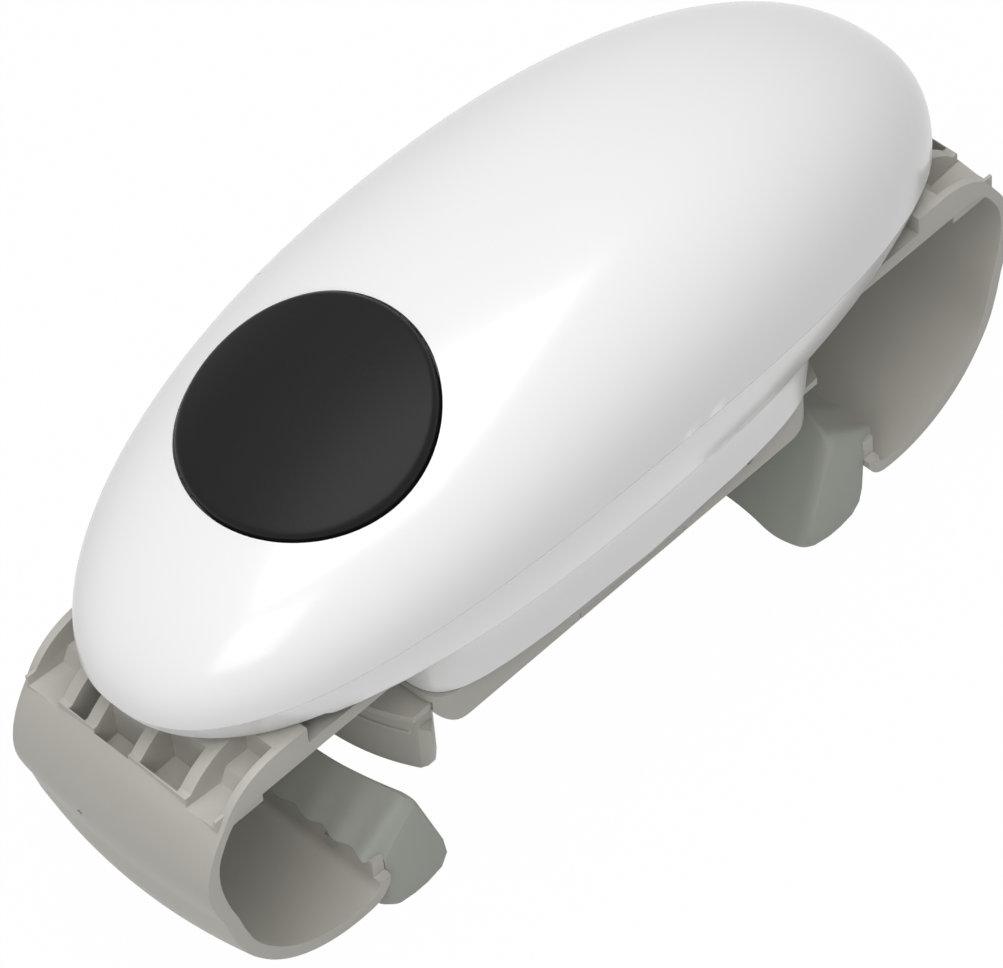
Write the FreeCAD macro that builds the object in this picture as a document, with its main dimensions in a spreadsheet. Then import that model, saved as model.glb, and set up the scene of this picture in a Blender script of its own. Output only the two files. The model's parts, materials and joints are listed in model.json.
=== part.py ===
"""Electric jar opener: an egg-shaped motor housing on two sliding jar arms, with a turning lid gripper.

Units are millimetres, +Z is up. The origin is on the floor under the middle of the housing.
+X runs along the housing, away from the button. Every height is worked out from the seam height.
"""
import FreeCAD
import Part
import math
import os

import Sketcher

SHEET_ROWS = [
    ("body_length", 190.0, "egg housing, end to end"),
    ("body_width", 74.0, "egg housing across the seam"),
    ("dome_rise", 31.4, "dome above the seam at mid length"),
    ("dome_skew", 0.27, "share by which the far end of the dome is taller"),
    ("plan_skew", 0.05, "share by which the far end is narrower"),
    ("seam_height", 84.0, "seam above the floor at mid length"),
    ("seam_fall", 12.0, "drop of the seam towards both ends"),
    ("seam_gap", 0.1, "gap between the two housings along the seam"),
    ("seam_tilt", 2.3, "further drop of the seam at the far end"),
    ("housing_wall", 2.4, "wall of both housings"),
    ("dish_depth", 23.0, "lower housing below the seam at mid length"),
    ("dish_inset", 7.0, "slope of the lower housing's side, top to bottom"),
    ("keel_length", 94.0, "keel under the lower housing"),
    ("keel_width", 56.0, "keel across its bottom at mid length"),
    ("keel_end_width", 48.6, "keel across its bottom near its ends"),
    ("keel_corner", 6.0, "plan corner radius of the keel"),
    ("keel_depth", 35.5, "keel bottom below the seam"),
    ("keel_draft", 5.0, "draft angle of the keel sides, degrees"),
    ("guide_floor", 2.0, "thickness of the guide plate"),
    ("deck_depth", 18.4, "gearbox deck underside below the seam"),
    ("deck_thick", 1.6, "gearbox deck"),
    ("roof_depth", 14.4, "roof of the arm recess below the seam"),
    ("arm_width", 47.6, "jar arm across"),
    ("arm_plate_depth", 21.8, "underside of the arm plate below the seam"),
    ("arm_plate_thick", 3.0, "arm plate"),
    ("arm_plate_reach", 38.0, "inner end of the arm plate from the centre"),
    ("arm_gap", 0.4, "sliding gap round the arms"),
    ("hook_start", 97.0, "outside of the hook at its top, from the centre"),
    ("hook_wall", 2.6, "wall of the hook"),
    ("hook_upper_radius", 70.0, "outer bend of the hook's side"),
    ("hook_lower_radius", 28.0, "outer bend of the hook's bottom"),
    ("hook_lip_radius", 5.0, "outer bend into the hook's lip"),
    ("hook_lip_rise", 4.6, "straight lip of the hook"),
    ("ramp_top_depth", 15.0, "top of the ribbed ramp below the seam"),
    ("ramp_foot_depth", 22.5, "foot of the ribbed ramp below the seam"),
    ("ramp_length", 15.0, "run of the ribbed ramp"),
    ("ramp_crest", 5.0, "flat crest behind the ramp"),
    ("rib_thick", 2.4, "ribs between the arm's pockets"),
    ("gear_module", 1.0, "module of the output gear, racks and pinions"),
    ("fine_module", 0.8, "module of the middle gear pair"),
    ("motor_module", 0.6, "module of the motor's gear pair"),
    ("output_teeth", 40, "teeth of the output gear"),
    ("second_pinion_teeth", 12, "teeth of the pinion on the second gear"),
    ("second_teeth", 36, "teeth of the second gear"),
    ("first_pinion_teeth", 10, "teeth of the pinion on the first gear"),
    ("first_teeth", 36, "teeth of the first gear"),
    ("motor_teeth", 10, "teeth of the motor pinion"),
    ("arm_pinion_teeth", 16, "teeth of the pinion between the arm racks"),
    ("jaw_pinion_teeth", 12, "teeth of the pinion between the jaw racks"),
    ("second_angle", -20.0, "direction of the second axle from the spindle, degrees"),
    ("first_angle", 50.0, "direction of the first axle from the second, degrees"),
    ("motor_angle", -20.0, "direction of the motor from the first axle, degrees"),
    ("backlash", 0.14, "thinning of each tooth"),
    ("output_face", 4.5, "face width of the output gear"),
    ("fine_face", 3.5, "face width of the second gear"),
    ("motor_face", 3.0, "face width of the first gear"),
    ("gear_gap", 0.4, "axial gap between gears"),
    ("gear_plate_thick", 2.0, "plate over the gears"),
    ("spindle_radius", 4.0, "spindle of the turntable"),
    ("axle_radius", 1.5, "steel axles of the gears"),
    ("running_gap", 0.05, "radial clearance of shafts"),
    ("rack_back", 6.0, "rack bar behind its teeth"),
    ("carrier_gap", 0.3, "gap between keel and carrier"),
    ("carrier_height", 8.0, "lid-jaw carrier"),
    ("carrier_roof", 1.6, "top wall of the carrier"),
    ("carrier_side", 2.5, "side walls of the carrier"),
    ("carrier_lip", 1.5, "lips that carry the jaws"),
    ("carrier_nose", 7.0, "bend at the carrier's ends"),
    ("cover_half", 13.0, "half length of the carrier cover"),
    ("cover_thick", 1.4, "carrier cover"),
    ("jaw_plate_thick", 1.5, "slide plate of a lid jaw"),
    ("jaw_rack_thick", 2.6, "rack under the slide plate"),
    ("jaw_rack_back", 4.0, "jaw rack bar behind its teeth"),
    ("jaw_out", 53.5, "outside of the lid jaws from the centre"),
    ("jaw_thick", 5.0, "lid jaw blade"),
    ("jaw_grip_radius", 42.0, "curve of the lid jaws"),
    ("jaw_blade_depth", 55.0, "lower edge of the lid jaws below the seam"),
    ("pad_grip_radius", 56.0, "curve of the jar pads at their top"),
    ("pad_top_depth", 56.0, "upper edge of the jar pads below the seam"),
    ("pad_top_out", 57.0, "top of the pad's face from the centre, at mid width"),
    ("pad_foot_out", 47.6, "foot of the pad's face from the centre"),
    ("pad_half", 22.5, "half the width of a jar pad"),
    ("pad_corner", 2.0, "rounding of the pad's back corners"),
    ("button_radius", 22.4, "button"),
    ("button_place", -48.2, "button centre along the housing"),
    ("button_proud", 1.3, "button above the dome"),
    ("button_thick", 3.0, "button cap"),
    ("button_gap", 0.5, "gap round the button"),
    ("well_depth", 9.4, "floor of the button well below the dome"),
    ("well_wall", 1.8, "wall of the button well"),
    ("stem_radius", 3.0, "stem under the button"),
    ("spring_radius", 6.6, "button spring, to the middle of its wire"),
    ("spring_wire", 0.7, "wire of the button spring"),
    ("board_thick", 1.6, "circuit board"),
    ("cell_radius", 7.1, "AA cell"),
    ("cell_length", 50.0, "AA cell without its tip"),
    ("tray_wall", 1.5, "battery tray"),
    ("door_length", 58.0, "battery door along the housing"),
    ("door_low", 2.0, "lower edge of the battery door above the seam"),
    ("door_high", 18.0, "upper edge of the battery door above the seam"),
    ("door_gap", 0.3, "gap round the battery door"),
    ("motor_radius", 12.0, "motor can"),
    ("motor_length", 20.0, "motor can"),
    ("motor_shaft_radius", 1.0, "motor shaft"),
    ("post_radius", 3.6, "screw posts of the housings"),
    ("screw_radius", 1.3, "housing screws"),
    ("screw_head_radius", 2.5, "housing screw heads"),
    ("near_post", 80.0, "screw posts from the centre"),
    ("post_spread", 14.0, "screw posts across"),
]

doc = FreeCAD.newDocument("JarOpener")
sheet = doc.addObject("Spreadsheet::Sheet", "Sheet")
for row, (alias, number, note) in enumerate(SHEET_ROWS, start=1):
    sheet.set(f"A{row}", alias)
    sheet.set(f"B{row}", str(number))
    sheet.set(f"C{row}", note)
    sheet.setAlias(f"B{row}", alias)
doc.recompute()


class Size:
    """A number together with the spreadsheet expression that gives it."""

    def __init__(self, number, text):
        self.number = number
        self.text = text

    def __add__(self, other):
        other = as_size(other)
        return Size(self.number + other.number, f"({self.text} + {other.text})")

    def __sub__(self, other):
        other = as_size(other)
        return Size(self.number - other.number, f"({self.text} - {other.text})")

    def __mul__(self, other):
        other = as_size(other)
        return Size(self.number * other.number, f"({self.text} * {other.text})")

    def __truediv__(self, other):
        other = as_size(other)
        return Size(self.number / other.number, f"({self.text} / {other.text})")

    def __neg__(self):
        return Size(-self.number, f"(-1 * {self.text})")

    __radd__ = __add__

    def __rsub__(self, other):
        return as_size(other) - self

    __rmul__ = __mul__

    def __float__(self):
        return float(self.number)


def as_size(value):
    """Wrap a plain number as a Size."""
    if isinstance(value, Size):
        return value
    return Size(float(value), str(float(value)))


class Dims:
    """The driving dimensions, by name."""


dims = Dims()
for alias, number, note in SHEET_ROWS:
    setattr(dims, alias, Size(float(sheet.get(alias)), f"Sheet.{alias}"))

Vector = FreeCAD.Vector
UP = Vector(0, 0, 1)
ORIGIN = Vector(0, 0, 0)
HALF_TURN = FreeCAD.Rotation(UP, 180)


def below_seam(depth):
    """Height of a level that lies a given depth below the seam."""
    return dims.seam_height - depth


def new_body(label):
    """A PartDesign body with its own label."""
    body = doc.addObject("PartDesign::Body", label)
    body.Label = label
    return body


def origin_plane(body, role):
    """One of the body's own origin planes, by its role."""
    for feature in body.Origin.OriginFeatures:
        if feature.Role == role:
            return feature
    raise ValueError(f"no plane {role}")


def new_sketch(body, name, role="XY_Plane", level=0.0):
    """A sketch on an origin plane, lifted along the plane's normal."""
    sketch = body.newObject("Sketcher::SketchObject", name)
    sketch.AttachmentSupport = (origin_plane(body, role), [""])
    sketch.MapMode = "FlatFace"
    level = as_size(level)
    sketch.AttachmentOffset = FreeCAD.Placement(Vector(0, 0, float(level)), FreeCAD.Rotation())
    sketch.setExpression("AttachmentOffset.Base.z", level.text)
    return sketch


def hold_point(sketch, geometry, end, x, y):
    """Fix a point of a sketch at two sizes."""
    for kind, value in (("DistanceX", as_size(x)), ("DistanceY", as_size(y))):
        index = sketch.addConstraint(Sketcher.Constraint(kind, -1, 1, geometry, end, float(value)))
        sketch.setExpression(f"Constraints[{index}]", value.text)


def draw_outline(sketch, corners):
    """A closed outline of straight lines through the given corners."""
    first = sketch.GeometryCount
    count = len(corners)
    for index, corner in enumerate(corners):
        following = corners[(index + 1) % count]
        start = Vector(float(corner[0]), float(corner[1]), 0)
        end = Vector(float(following[0]), float(following[1]), 0)
        sketch.addGeometry(Part.LineSegment(start, end))
    for index, corner in enumerate(corners):
        line = first + index
        after = first + (index + 1) % count
        sketch.addConstraint(Sketcher.Constraint("Coincident", line, 2, after, 1))
        hold_point(sketch, line, 1, corner[0], corner[1])


def draw_rectangle(sketch, low_x, low_y, high_x, high_y):
    """A closed rectangle between two corners."""
    draw_outline(sketch, [(low_x, low_y), (high_x, low_y), (high_x, high_y), (low_x, high_y)])


def draw_circle(sketch, x, y, radius):
    """A circle held by its centre and radius."""
    centre = Vector(float(as_size(x)), float(as_size(y)), 0)
    index = sketch.addGeometry(Part.Circle(centre, UP, float(radius)))
    hold_point(sketch, index, 3, x, y)
    held = sketch.addConstraint(Sketcher.Constraint("Radius", index, float(radius)))
    sketch.setExpression(f"Constraints[{held}]", as_size(radius).text)


def pad(body, sketch, length, middle=False, down=False, draft=None):
    """Extrude a sketch into the body."""
    feature = body.newObject("PartDesign::Pad", sketch.Name + "_pad")
    feature.Profile = sketch
    feature.Length = float(length)
    feature.setExpression("Length", as_size(length).text)
    feature.Midplane = middle
    feature.Reversed = down
    if draft is not None:
        feature.setExpression("TaperAngle", as_size(draft).text)
    return feature


def pocket(body, sketch, depth, middle=False, up=False):
    """Cut a sketch out of the body."""
    feature = body.newObject("PartDesign::Pocket", sketch.Name + "_pocket")
    feature.Profile = sketch
    feature.Length = float(depth)
    feature.setExpression("Length", as_size(depth).text)
    feature.Midplane = middle
    feature.Reversed = up
    return feature


def revolve(body, sketch):
    """Turn a sketch of the XZ plane about the Z axis."""
    feature = body.newObject("PartDesign::Revolution", sketch.Name + "_turn")
    feature.Profile = sketch
    feature.ReferenceAxis = (sketch, ["V_Axis"])
    feature.Angle = 360.0
    return feature


def shape_node(label, shape, placement=None):
    """A feature with a shape of its own, worked out from the sheet."""
    feature = doc.addObject("Part::Feature", label)
    feature.Label = label
    feature.Shape = shape
    if placement is not None:
        feature.Placement = placement
    return feature


def box_between(low, high):
    """A box from its lowest to its highest corner, given as sizes."""
    spans = [float(top) - float(bottom) for bottom, top in zip(low, high)]
    return Part.makeBox(*spans, Vector(*[float(value) for value in low]))


def rod(radius, low, high, x=0.0, y=0.0):
    """An upright cylinder between two heights."""
    return Part.makeCylinder(float(radius), float(high) - float(low), Vector(float(x), float(y), float(low)))


def turned(shape):
    """A copy of a shape, turned half a turn about the upright axis."""
    copy = shape.copy()
    copy.rotate(ORIGIN, UP, 180)
    return copy


PLAN_POWER = 2.25
DOME_POWER = 2.38
DISH_DEPTH_POWER = 0.77
STATIONS = 25
SPREAD = 17
TIP_SHARE = 0.012


def superellipse(share, power):
    """Height of a unit superellipse at a share of its half width."""
    return max(0.0, 1.0 - abs(share) ** power) ** (1.0 / power)


def seam_level(x):
    """Height of the bowed seam."""
    share = x / (float(dims.body_length) / 2)
    fall = float(dims.seam_fall) * share * share + float(dims.seam_tilt) * share
    return float(dims.seam_height) - fall


def section_at(x, inset):
    """Half width, rise and depth of the egg's section at x, inside a wall."""
    half = float(dims.body_length) / 2
    share = x / half
    inner = x / (half - inset)
    width = (float(dims.body_width) / 2) * (1 - float(dims.plan_skew) * share) - inset
    rise = float(dims.dome_rise) * (1 + float(dims.dome_skew) * share) - inset
    depth = float(dims.dish_depth) * max(0.0, 1 - inner * inner) ** DISH_DEPTH_POWER
    depth = max(0.35 * depth, depth - inset)
    return width * superellipse(inner, PLAN_POWER), rise * superellipse(inner, DOME_POWER), depth


def station_places(inset):
    """Places along the housing, closer together towards its ends."""
    half = float(dims.body_length) / 2 - inset
    spots = [TIP_SHARE + (1 - 2 * TIP_SHARE) * index / (STATIONS - 1) for index in range(STATIONS)]
    return [-half * math.cos(math.pi * spot) for spot in spots]


def surface_through(rows):
    """A smooth surface through rows of points."""
    surface = Part.BSplineSurface()
    surface.interpolate(rows)
    return surface


def loft_along(rows):
    """A solid whose skin runs through rows of points, closed by a ruled face and two flat ends."""
    surface = surface_through(rows)
    skin = surface.toShape()
    first, last, start, end = surface.bounds()
    near = surface.vIso(start).toShape()
    far = surface.vIso(end).toShape()
    faces = [skin, Part.makeRuledSurface(near, far)]
    for place, row in ((first, rows[0]), (last, rows[-1])):
        rim = surface.uIso(place).toShape()
        chord = Part.LineSegment(row[0], row[-1]).toShape()
        faces.append(Part.Face(Part.Wire([rim, chord])))
    shell = Part.makeShell(faces)
    shell.sewShape()
    shell.fix(0.01, 0.01, 0.01)
    solid = Part.makeSolid(shell)
    if solid.Volume < 0:
        solid.reverse()
    return solid


def dome_solid(inset, foot=0.0):
    """The egg's upper half inside a wall, reaching a little below the seam."""
    rows = []
    for x in station_places(inset):
        width, rise, _ = section_at(x, inset)
        base = seam_level(x) - foot
        row = []
        for step in range(SPREAD):
            angle = math.pi * step / (SPREAD - 1)
            across = math.cos(angle)
            side = math.copysign(abs(across) ** (2 / DOME_POWER), across)
            up = abs(math.sin(angle)) ** (2 / DOME_POWER) if 0 < step < SPREAD - 1 else 0.0
            row.append(Vector(x, -width * side, base + (rise + foot) * up))
        rows.append(row)
    return loft_along(rows)


DISH_BULGE = 0.06
DISH_CORNER = 0.86


def dish_solid(inset, rim=0.0):
    """The egg's lower half inside a wall, with sloping sides and a bottom that rises to both ends."""
    rows = []
    for x in station_places(inset):
        width, _, depth = section_at(x, inset)
        half = float(dims.body_length) / 2 - inset
        draw_in = float(dims.dish_inset) * math.sqrt(max(0.0, 1 - (x / half) ** 2))
        low = width - min(draw_in, width * 0.6)
        base = seam_level(x) - float(dims.seam_gap)
        side = []
        for share in (0.0, 0.33, 0.66, DISH_CORNER):
            bulge = DISH_BULGE * depth * share * (1 - share)
            side.append((width + (low - width) * share + bulge, depth * share))
        side.append((low - 0.25 * depth * (1 - DISH_CORNER), depth * 0.975))
        side.append((low - 0.9 * depth * (1 - DISH_CORNER), depth))
        side[0] = (side[0][0], -rim)
        row = [Vector(x, -across, base - down) for across, down in side]
        row += [Vector(x, across, base - down) for across, down in reversed(side)]
        rows.append(row)
    return loft_along(rows)


def dome_frame():
    """Placement on the dome at the button, its Z axis standing out of the surface."""
    x = float(dims.button_place)
    step = 0.5

    def top(place):
        return seam_level(place) + section_at(place, 0.0)[1]

    slope = (top(x + step) - top(x - step)) / (2 * step)
    tilt = math.degrees(math.atan(slope))
    return FreeCAD.Placement(Vector(x, 0, top(x)), FreeCAD.Rotation(Vector(0, 1, 0), -tilt))


def on_button_axis(shape):
    """Move a shape made round the Z axis onto the button's axis."""
    moved = shape.copy()
    moved.Placement = dome_frame()
    return moved


def button_hole(gap, low, high):
    """A cylinder along the button's axis."""
    return on_button_axis(rod(dims.button_radius + gap, low, high))


def tube(outer, inner, low, high, x=0.0, y=0.0):
    """An upright tube between two heights."""
    return rod(outer, low, high, x, y).cut(rod(inner, float(low) - 1, float(high) + 1, x, y))


def block(half_x, half_y, low, high, x=0.0, y=0.0):
    """A box centred in plan, between two heights."""
    corner = (float(x) - float(half_x), float(y) - float(half_y), low)
    return box_between(corner, (float(x) + float(half_x), float(y) + float(half_y), high))


def fused(shapes):
    """One clean solid out of several that touch."""
    return shapes[0].multiFuse(shapes[1:]).removeSplitter()


def biggest(shape):
    """The largest solid of a shape."""
    return max(shape.Solids, key=lambda solid: solid.Volume)


def pulled(points, length, direction):
    """A prism from a closed outline of points."""
    outline = Part.makePolygon(points + [points[0]])
    return Part.Face(outline).extrude(direction * float(length))


# Involute gears and straight racks.

PRESSURE = math.radians(20)
ADDENDUM = 0.85
DEDENDUM = 1.15
FLANK_STEPS = 5
UNDERCUT = 0.12


def involute(angle):
    """The involute function."""
    return math.tan(angle) - angle


def tooth_half_angle(radius, base, pitch_radius, teeth):
    """Half the angle a tooth spans at a radius."""
    at_pitch = math.pi / (2 * teeth) - float(dims.backlash) / (2 * pitch_radius)
    if radius <= base:
        return at_pitch + involute(PRESSURE)
    return at_pitch + involute(PRESSURE) - involute(math.acos(base / radius))


def gear_points(module, teeth, phase):
    """The outline of a gear with one tooth centred on the phase angle, in degrees."""
    pitch_radius = module * teeth / 2
    base = pitch_radius * math.cos(PRESSURE)
    root = pitch_radius - DEDENDUM * module
    tip = pitch_radius + ADDENDUM * module
    start = max(base, root)
    radii = [start + (tip - start) * step / FLANK_STEPS for step in range(FLANK_STEPS + 1)]
    flank = [(radius, tooth_half_angle(radius, base, pitch_radius, teeth)) for radius in radii]
    if root < base:
        narrow = UNDERCUT * (base - root) / base
        flank.insert(0, (root, flank[0][1] - narrow))
    points = []
    for tooth in range(teeth):
        centre = math.radians(phase) + 2 * math.pi * tooth / teeth
        for radius, half in flank:
            points.append((radius * math.cos(centre - half), radius * math.sin(centre - half)))
        for radius, half in reversed(flank):
            points.append((radius * math.cos(centre + half), radius * math.sin(centre + half)))
    return points


def gear(module, teeth, phase, low, high, x=0.0, y=0.0):
    """A solid gear between two heights."""
    outline = gear_points(float(module), int(float(teeth)), phase)
    points = [Vector(x + px, y + py, float(low)) for px, py in outline]
    return pulled(points, float(high) - float(low), UP)


def meshing_phase(teeth, phase, angle, other_teeth):
    """Phase of a gear that meshes with another one lying in the given direction."""
    pitch = 360.0 / float(teeth)
    ahead = (phase - angle) % pitch
    gap = angle + 180 - ahead * float(teeth) / float(other_teeth)
    return gap + 180.0 / float(other_teeth)


def rack(module, low_x, high_x, back, low, high):
    """A rack along X below its pitch line at y = 0, its teeth pointing to +Y, a gap at x = 0."""
    pitch = math.pi * float(module)
    half = pitch / 4 - float(dims.backlash) / 2
    tip = ADDENDUM * float(module)
    root = DEDENDUM * float(module)
    slope = math.tan(PRESSURE)
    bar = box_between((low_x, -root - float(back), low), (high_x, -root, high))
    first = math.ceil(float(low_x) / pitch - 0.5)
    last = math.floor(float(high_x) / pitch - 0.5)
    teeth = []
    for index in range(first, last + 1):
        centre = (index + 0.5) * pitch
        foot = half + root * slope
        if centre - foot < float(low_x) or centre + foot > float(high_x):
            continue
        crest = half - tip * slope
        outline = [(-foot, -root), (foot, -root), (crest, tip), (-crest, tip)]
        points = [Vector(centre + px, py, float(low)) for px, py in outline]
        teeth.append(pulled(points, float(high) - float(low), UP))
    return fused([bar] + teeth)


# Levels shared by several pieces.

seam = float(dims.seam_height)
deck_low = below_seam(dims.deck_depth)
deck_high = deck_low + dims.deck_thick
roof_low = below_seam(dims.roof_depth)
roof_high = roof_low + 2.0
keel_low = below_seam(dims.keel_depth)
guide_high = keel_low + dims.guide_floor
plate_low = below_seam(dims.arm_plate_depth)
plate_high = plate_low + dims.arm_plate_thick
channel_low = plate_low - dims.arm_gap
rack_top = channel_low
rack_low = plate_low - 5.2
output_low = deck_high + 0.6
output_high = output_low + dims.output_face
fine_low = output_high + dims.gear_gap
fine_high = fine_low + dims.fine_face
motor_low = fine_high + dims.gear_gap
motor_high = motor_low + dims.motor_face
gear_plate_low = motor_high + dims.gear_gap
gear_plate_high = gear_plate_low + dims.gear_plate_thick
carrier_high = keel_low - dims.carrier_gap
carrier_low = carrier_high - dims.carrier_height
carrier_inner = carrier_high - dims.carrier_roof
jaw_plate_high = carrier_inner - 0.3
jaw_plate_low = jaw_plate_high - dims.jaw_plate_thick
jaw_rack_low = jaw_plate_low - dims.jaw_rack_thick - 0.1
cover_high = carrier_low + dims.cover_thick
half_arm = float(dims.arm_width) / 2
half_channel = half_arm + float(dims.arm_gap)
CARRIER_HALF = 24.3
CARRIER_REACH = 47.0
GUIDE_POST = (4.5, 19.5)
GUIDE_POST_RADIUS = 2.6
PILLARS = [(-18.0, 20.0), (-18.0, -20.0), (54.0, 18.0), (54.0, -18.0)]
PILLAR_RADIUS = 3.0
SMALL_SCREW = 1.0
SMALL_HEAD = 2.0
FIT = 0.02

second_spot = float(dims.gear_module) * (float(dims.output_teeth) + float(dims.second_pinion_teeth)) / 2
first_step = float(dims.fine_module) * (float(dims.second_teeth) + float(dims.first_pinion_teeth)) / 2
motor_step = float(dims.motor_module) * (float(dims.first_teeth) + float(dims.motor_teeth)) / 2


def stepped(start, distance, angle):
    """A point some distance from another one, in a direction given in degrees."""
    turn = math.radians(float(angle))
    return (start[0] + distance * math.cos(turn), start[1] + distance * math.sin(turn))


second_at = stepped((0.0, 0.0), second_spot, dims.second_angle)
first_at = stepped(second_at, first_step, dims.first_angle)
motor_at = stepped(first_at, motor_step, dims.motor_angle)


# The two housings.

def keel_outline(grow, level):
    """The keel's outline at a height: bowed sides, straight ends, round corners."""
    half_long = float(dims.keel_length) / 2 + grow
    half_wide = float(dims.keel_width) / 2 + grow
    corner = float(dims.keel_corner) + grow
    side_x = half_long - corner
    side_y = float(dims.keel_end_width) / 2 + 0.5 + grow
    diagonal = corner * math.sqrt(0.5)
    edges = []
    spots = []
    for turn_x, turn_y in ((1, 1), (1, -1), (-1, -1), (-1, 1)):
        centre = Vector(turn_x * side_x, turn_y * (side_y - corner), level)
        on_side = centre + Vector(0, turn_y * corner, 0)
        on_end = centre + Vector(turn_x * corner, 0, 0)
        middle = centre + Vector(turn_x * diagonal, turn_y * diagonal, 0)
        spots.append((on_side, middle, on_end))
    for index, (on_side, middle, on_end) in enumerate(spots):
        after = spots[(index + 1) % 4]
        if index % 2 == 0:
            edges.append(Part.Arc(on_side, middle, on_end).toShape())
            edges.append(Part.LineSegment(on_end, after[2]).toShape())
        else:
            bow = Vector(0, math.copysign(half_wide, on_side.y), level)
            edges.append(Part.Arc(on_end, middle, on_side).toShape())
            edges.append(Part.Arc(on_side, bow, after[0]).toShape())
    return Part.Wire(edges)


def keel_block(grow, low, high):
    """The keel's outline between two heights, drafted outwards upwards."""
    slope = math.tan(math.radians(float(dims.keel_draft)))
    start = grow + slope * (float(low) - float(keel_low))
    end = grow + slope * (float(high) - float(keel_low))
    return Part.makeLoft([keel_outline(start, float(low)), keel_outline(end, float(high))], True, True)


def keel_prism(grow, low, high):
    """The keel's outline at its bottom, drawn straight up between two heights."""
    return Part.Face(keel_outline(grow, float(low))).extrude(Vector(0, 0, float(high) - float(low)))


POSTS = [(side * float(dims.near_post), across * float(dims.post_spread) / 2)
         for side in (1, -1) for across in (1, -1)]
POST_HEAD = 1.6
POST_DEPTH = 9.0


def post_top(x):
    """Height at which the posts of the two housings meet."""
    return seam_level(x)


def door_box(gap):
    """The battery door's place on the far side of the dome."""
    half = float(dims.door_length) / 2 + gap
    low = seam + float(dims.door_low) - gap
    high = seam + float(dims.door_high) + gap
    return box_between((-half, 0.0, low), (half, 60.0, high))


def upper_shell():
    """The bare dome wall with the button well."""
    outer = dome_solid(0.0)
    inner = dome_solid(float(dims.housing_wall), 0.6)
    wall = outer.cut(inner)
    floor = -float(dims.well_depth)
    cup = button_hole(float(dims.button_gap) + float(dims.well_wall), floor - float(dims.well_wall), 4)
    wall = wall.fuse(cup.common(outer))
    posts = []
    trimmer = dome_solid(1.0)
    for x, y in POSTS:
        posts.append(rod(dims.post_radius, seam - 25, seam + 40, x, y).common(trimmer))
    wall = wall.multiFuse(posts)
    wall = wall.cut(button_hole(float(dims.button_gap), floor, 12))
    for x, y in POSTS:
        base = post_top(x)
        wall = wall.cut(rod(dims.screw_radius + FIT, base - 1, base + POST_DEPTH, x, y))
    return biggest(wall)


dome_wall = upper_shell()
shape_node("upper_housing", dome_wall.cut(door_box(0.0)))
door_gap = float(dims.door_gap)
plain_wall = dome_solid(0.0).cut(dome_solid(float(dims.housing_wall), 0.6))
door = biggest(plain_wall.common(door_box(-door_gap)))
RIB_HALF = 9.0
RIB_WIDTH = 0.8
RIB_PITCH = 1.8
RIB_PROUD = 0.5
RIB_ROOT = 1.0
ribs = []
rib_shell = dome_solid(-RIB_PROUD).cut(dome_solid(RIB_ROOT))
for step in range(4):
    level = seam + (float(dims.door_low) + float(dims.door_high)) / 2 + RIB_PITCH * (step - 1.5)
    rib = box_between((-RIB_HALF, 0.0, level - RIB_WIDTH / 2), (RIB_HALF, 60.0, level + RIB_WIDTH / 2))
    ribs.append(rib.common(rib_shell))
shape_node("battery_door", fused([door] + [biggest(rib) for rib in ribs]))


def lower_shell():
    """The dish and keel with the arm recess, gear deck and posts."""
    wall = float(dims.housing_wall)
    outer = dish_solid(0.0).fuse(keel_block(0.0, keel_low, seam - 18.0))
    cavity = dish_solid(wall, 0.6)
    cavity = cavity.cut(block(47.2, 60, seam - 60, deck_high))
    for side in (1, -1):
        roof = block(30.0, half_channel + 2.2, seam - 60, roof_high, side * 75.0)
        cavity = cavity.cut(roof)
    result = outer.cut(cavity)
    channel = block(60, half_channel, channel_low, deck_low)
    inside = keel_block(-wall, float(keel_low) - 0.01, channel_low)
    result = result.cut(channel).cut(inside)
    for side in (1, -1):
        result = result.cut(block(27.5, half_channel, seam - 60, roof_low, side * 72.5).cut(
            block(CARRIER_REACH + 0.2, 60, seam - 60, channel_low)))
    additions = []
    trimmer = dish_solid(1.0)
    for x, y in POSTS:
        additions.append(rod(dims.post_radius, roof_low, seam + 5, x, y).common(trimmer))
    for x, y in PILLARS:
        start = float(deck_high) - 0.5 if abs(x) < 45 else float(roof_high) - 0.5
        additions.append(rod(PILLAR_RADIUS, start, gear_plate_low, x, y))
    for x in (GUIDE_POST[0], -GUIDE_POST[0]):
        for y in (GUIDE_POST[1], -GUIDE_POST[1]):
            additions.append(rod(GUIDE_POST_RADIUS, guide_high, float(deck_low) + 0.5, x, y))
    additions.append(tube(7.0, 4.5, float(deck_low) + 0.3, deck_high, 0, 0))
    result = result.multiFuse(additions)
    result = result.cut(rod(dims.spindle_radius + dims.running_gap, seam - 30, seam))
    for x, y in POSTS:
        result = result.cut(rod(dims.screw_radius + 0.3, seam - 20, seam + 5, x, y))
        result = result.cut(rod(float(dims.screw_head_radius) + 0.1, float(roof_low) - 3, float(roof_low) + POST_HEAD, x, y))
    for x, y in PILLARS:
        result = result.cut(rod(SMALL_SCREW + FIT, float(gear_plate_low) - 7, gear_plate_low, x, y))
    for x in (GUIDE_POST[0], -GUIDE_POST[0]):
        for y in (GUIDE_POST[1], -GUIDE_POST[1]):
            result = result.cut(rod(SMALL_SCREW + FIT, guide_high, float(guide_high) + 9, x, y))
    for x, y in (second_at, first_at):
        result = result.cut(rod(dims.axle_radius + FIT, float(deck_high) - 1.0, deck_high, x, y))
    return result


shape_node("lower_housing", biggest(lower_shell()))


# The guide plate under the arms.

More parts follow.
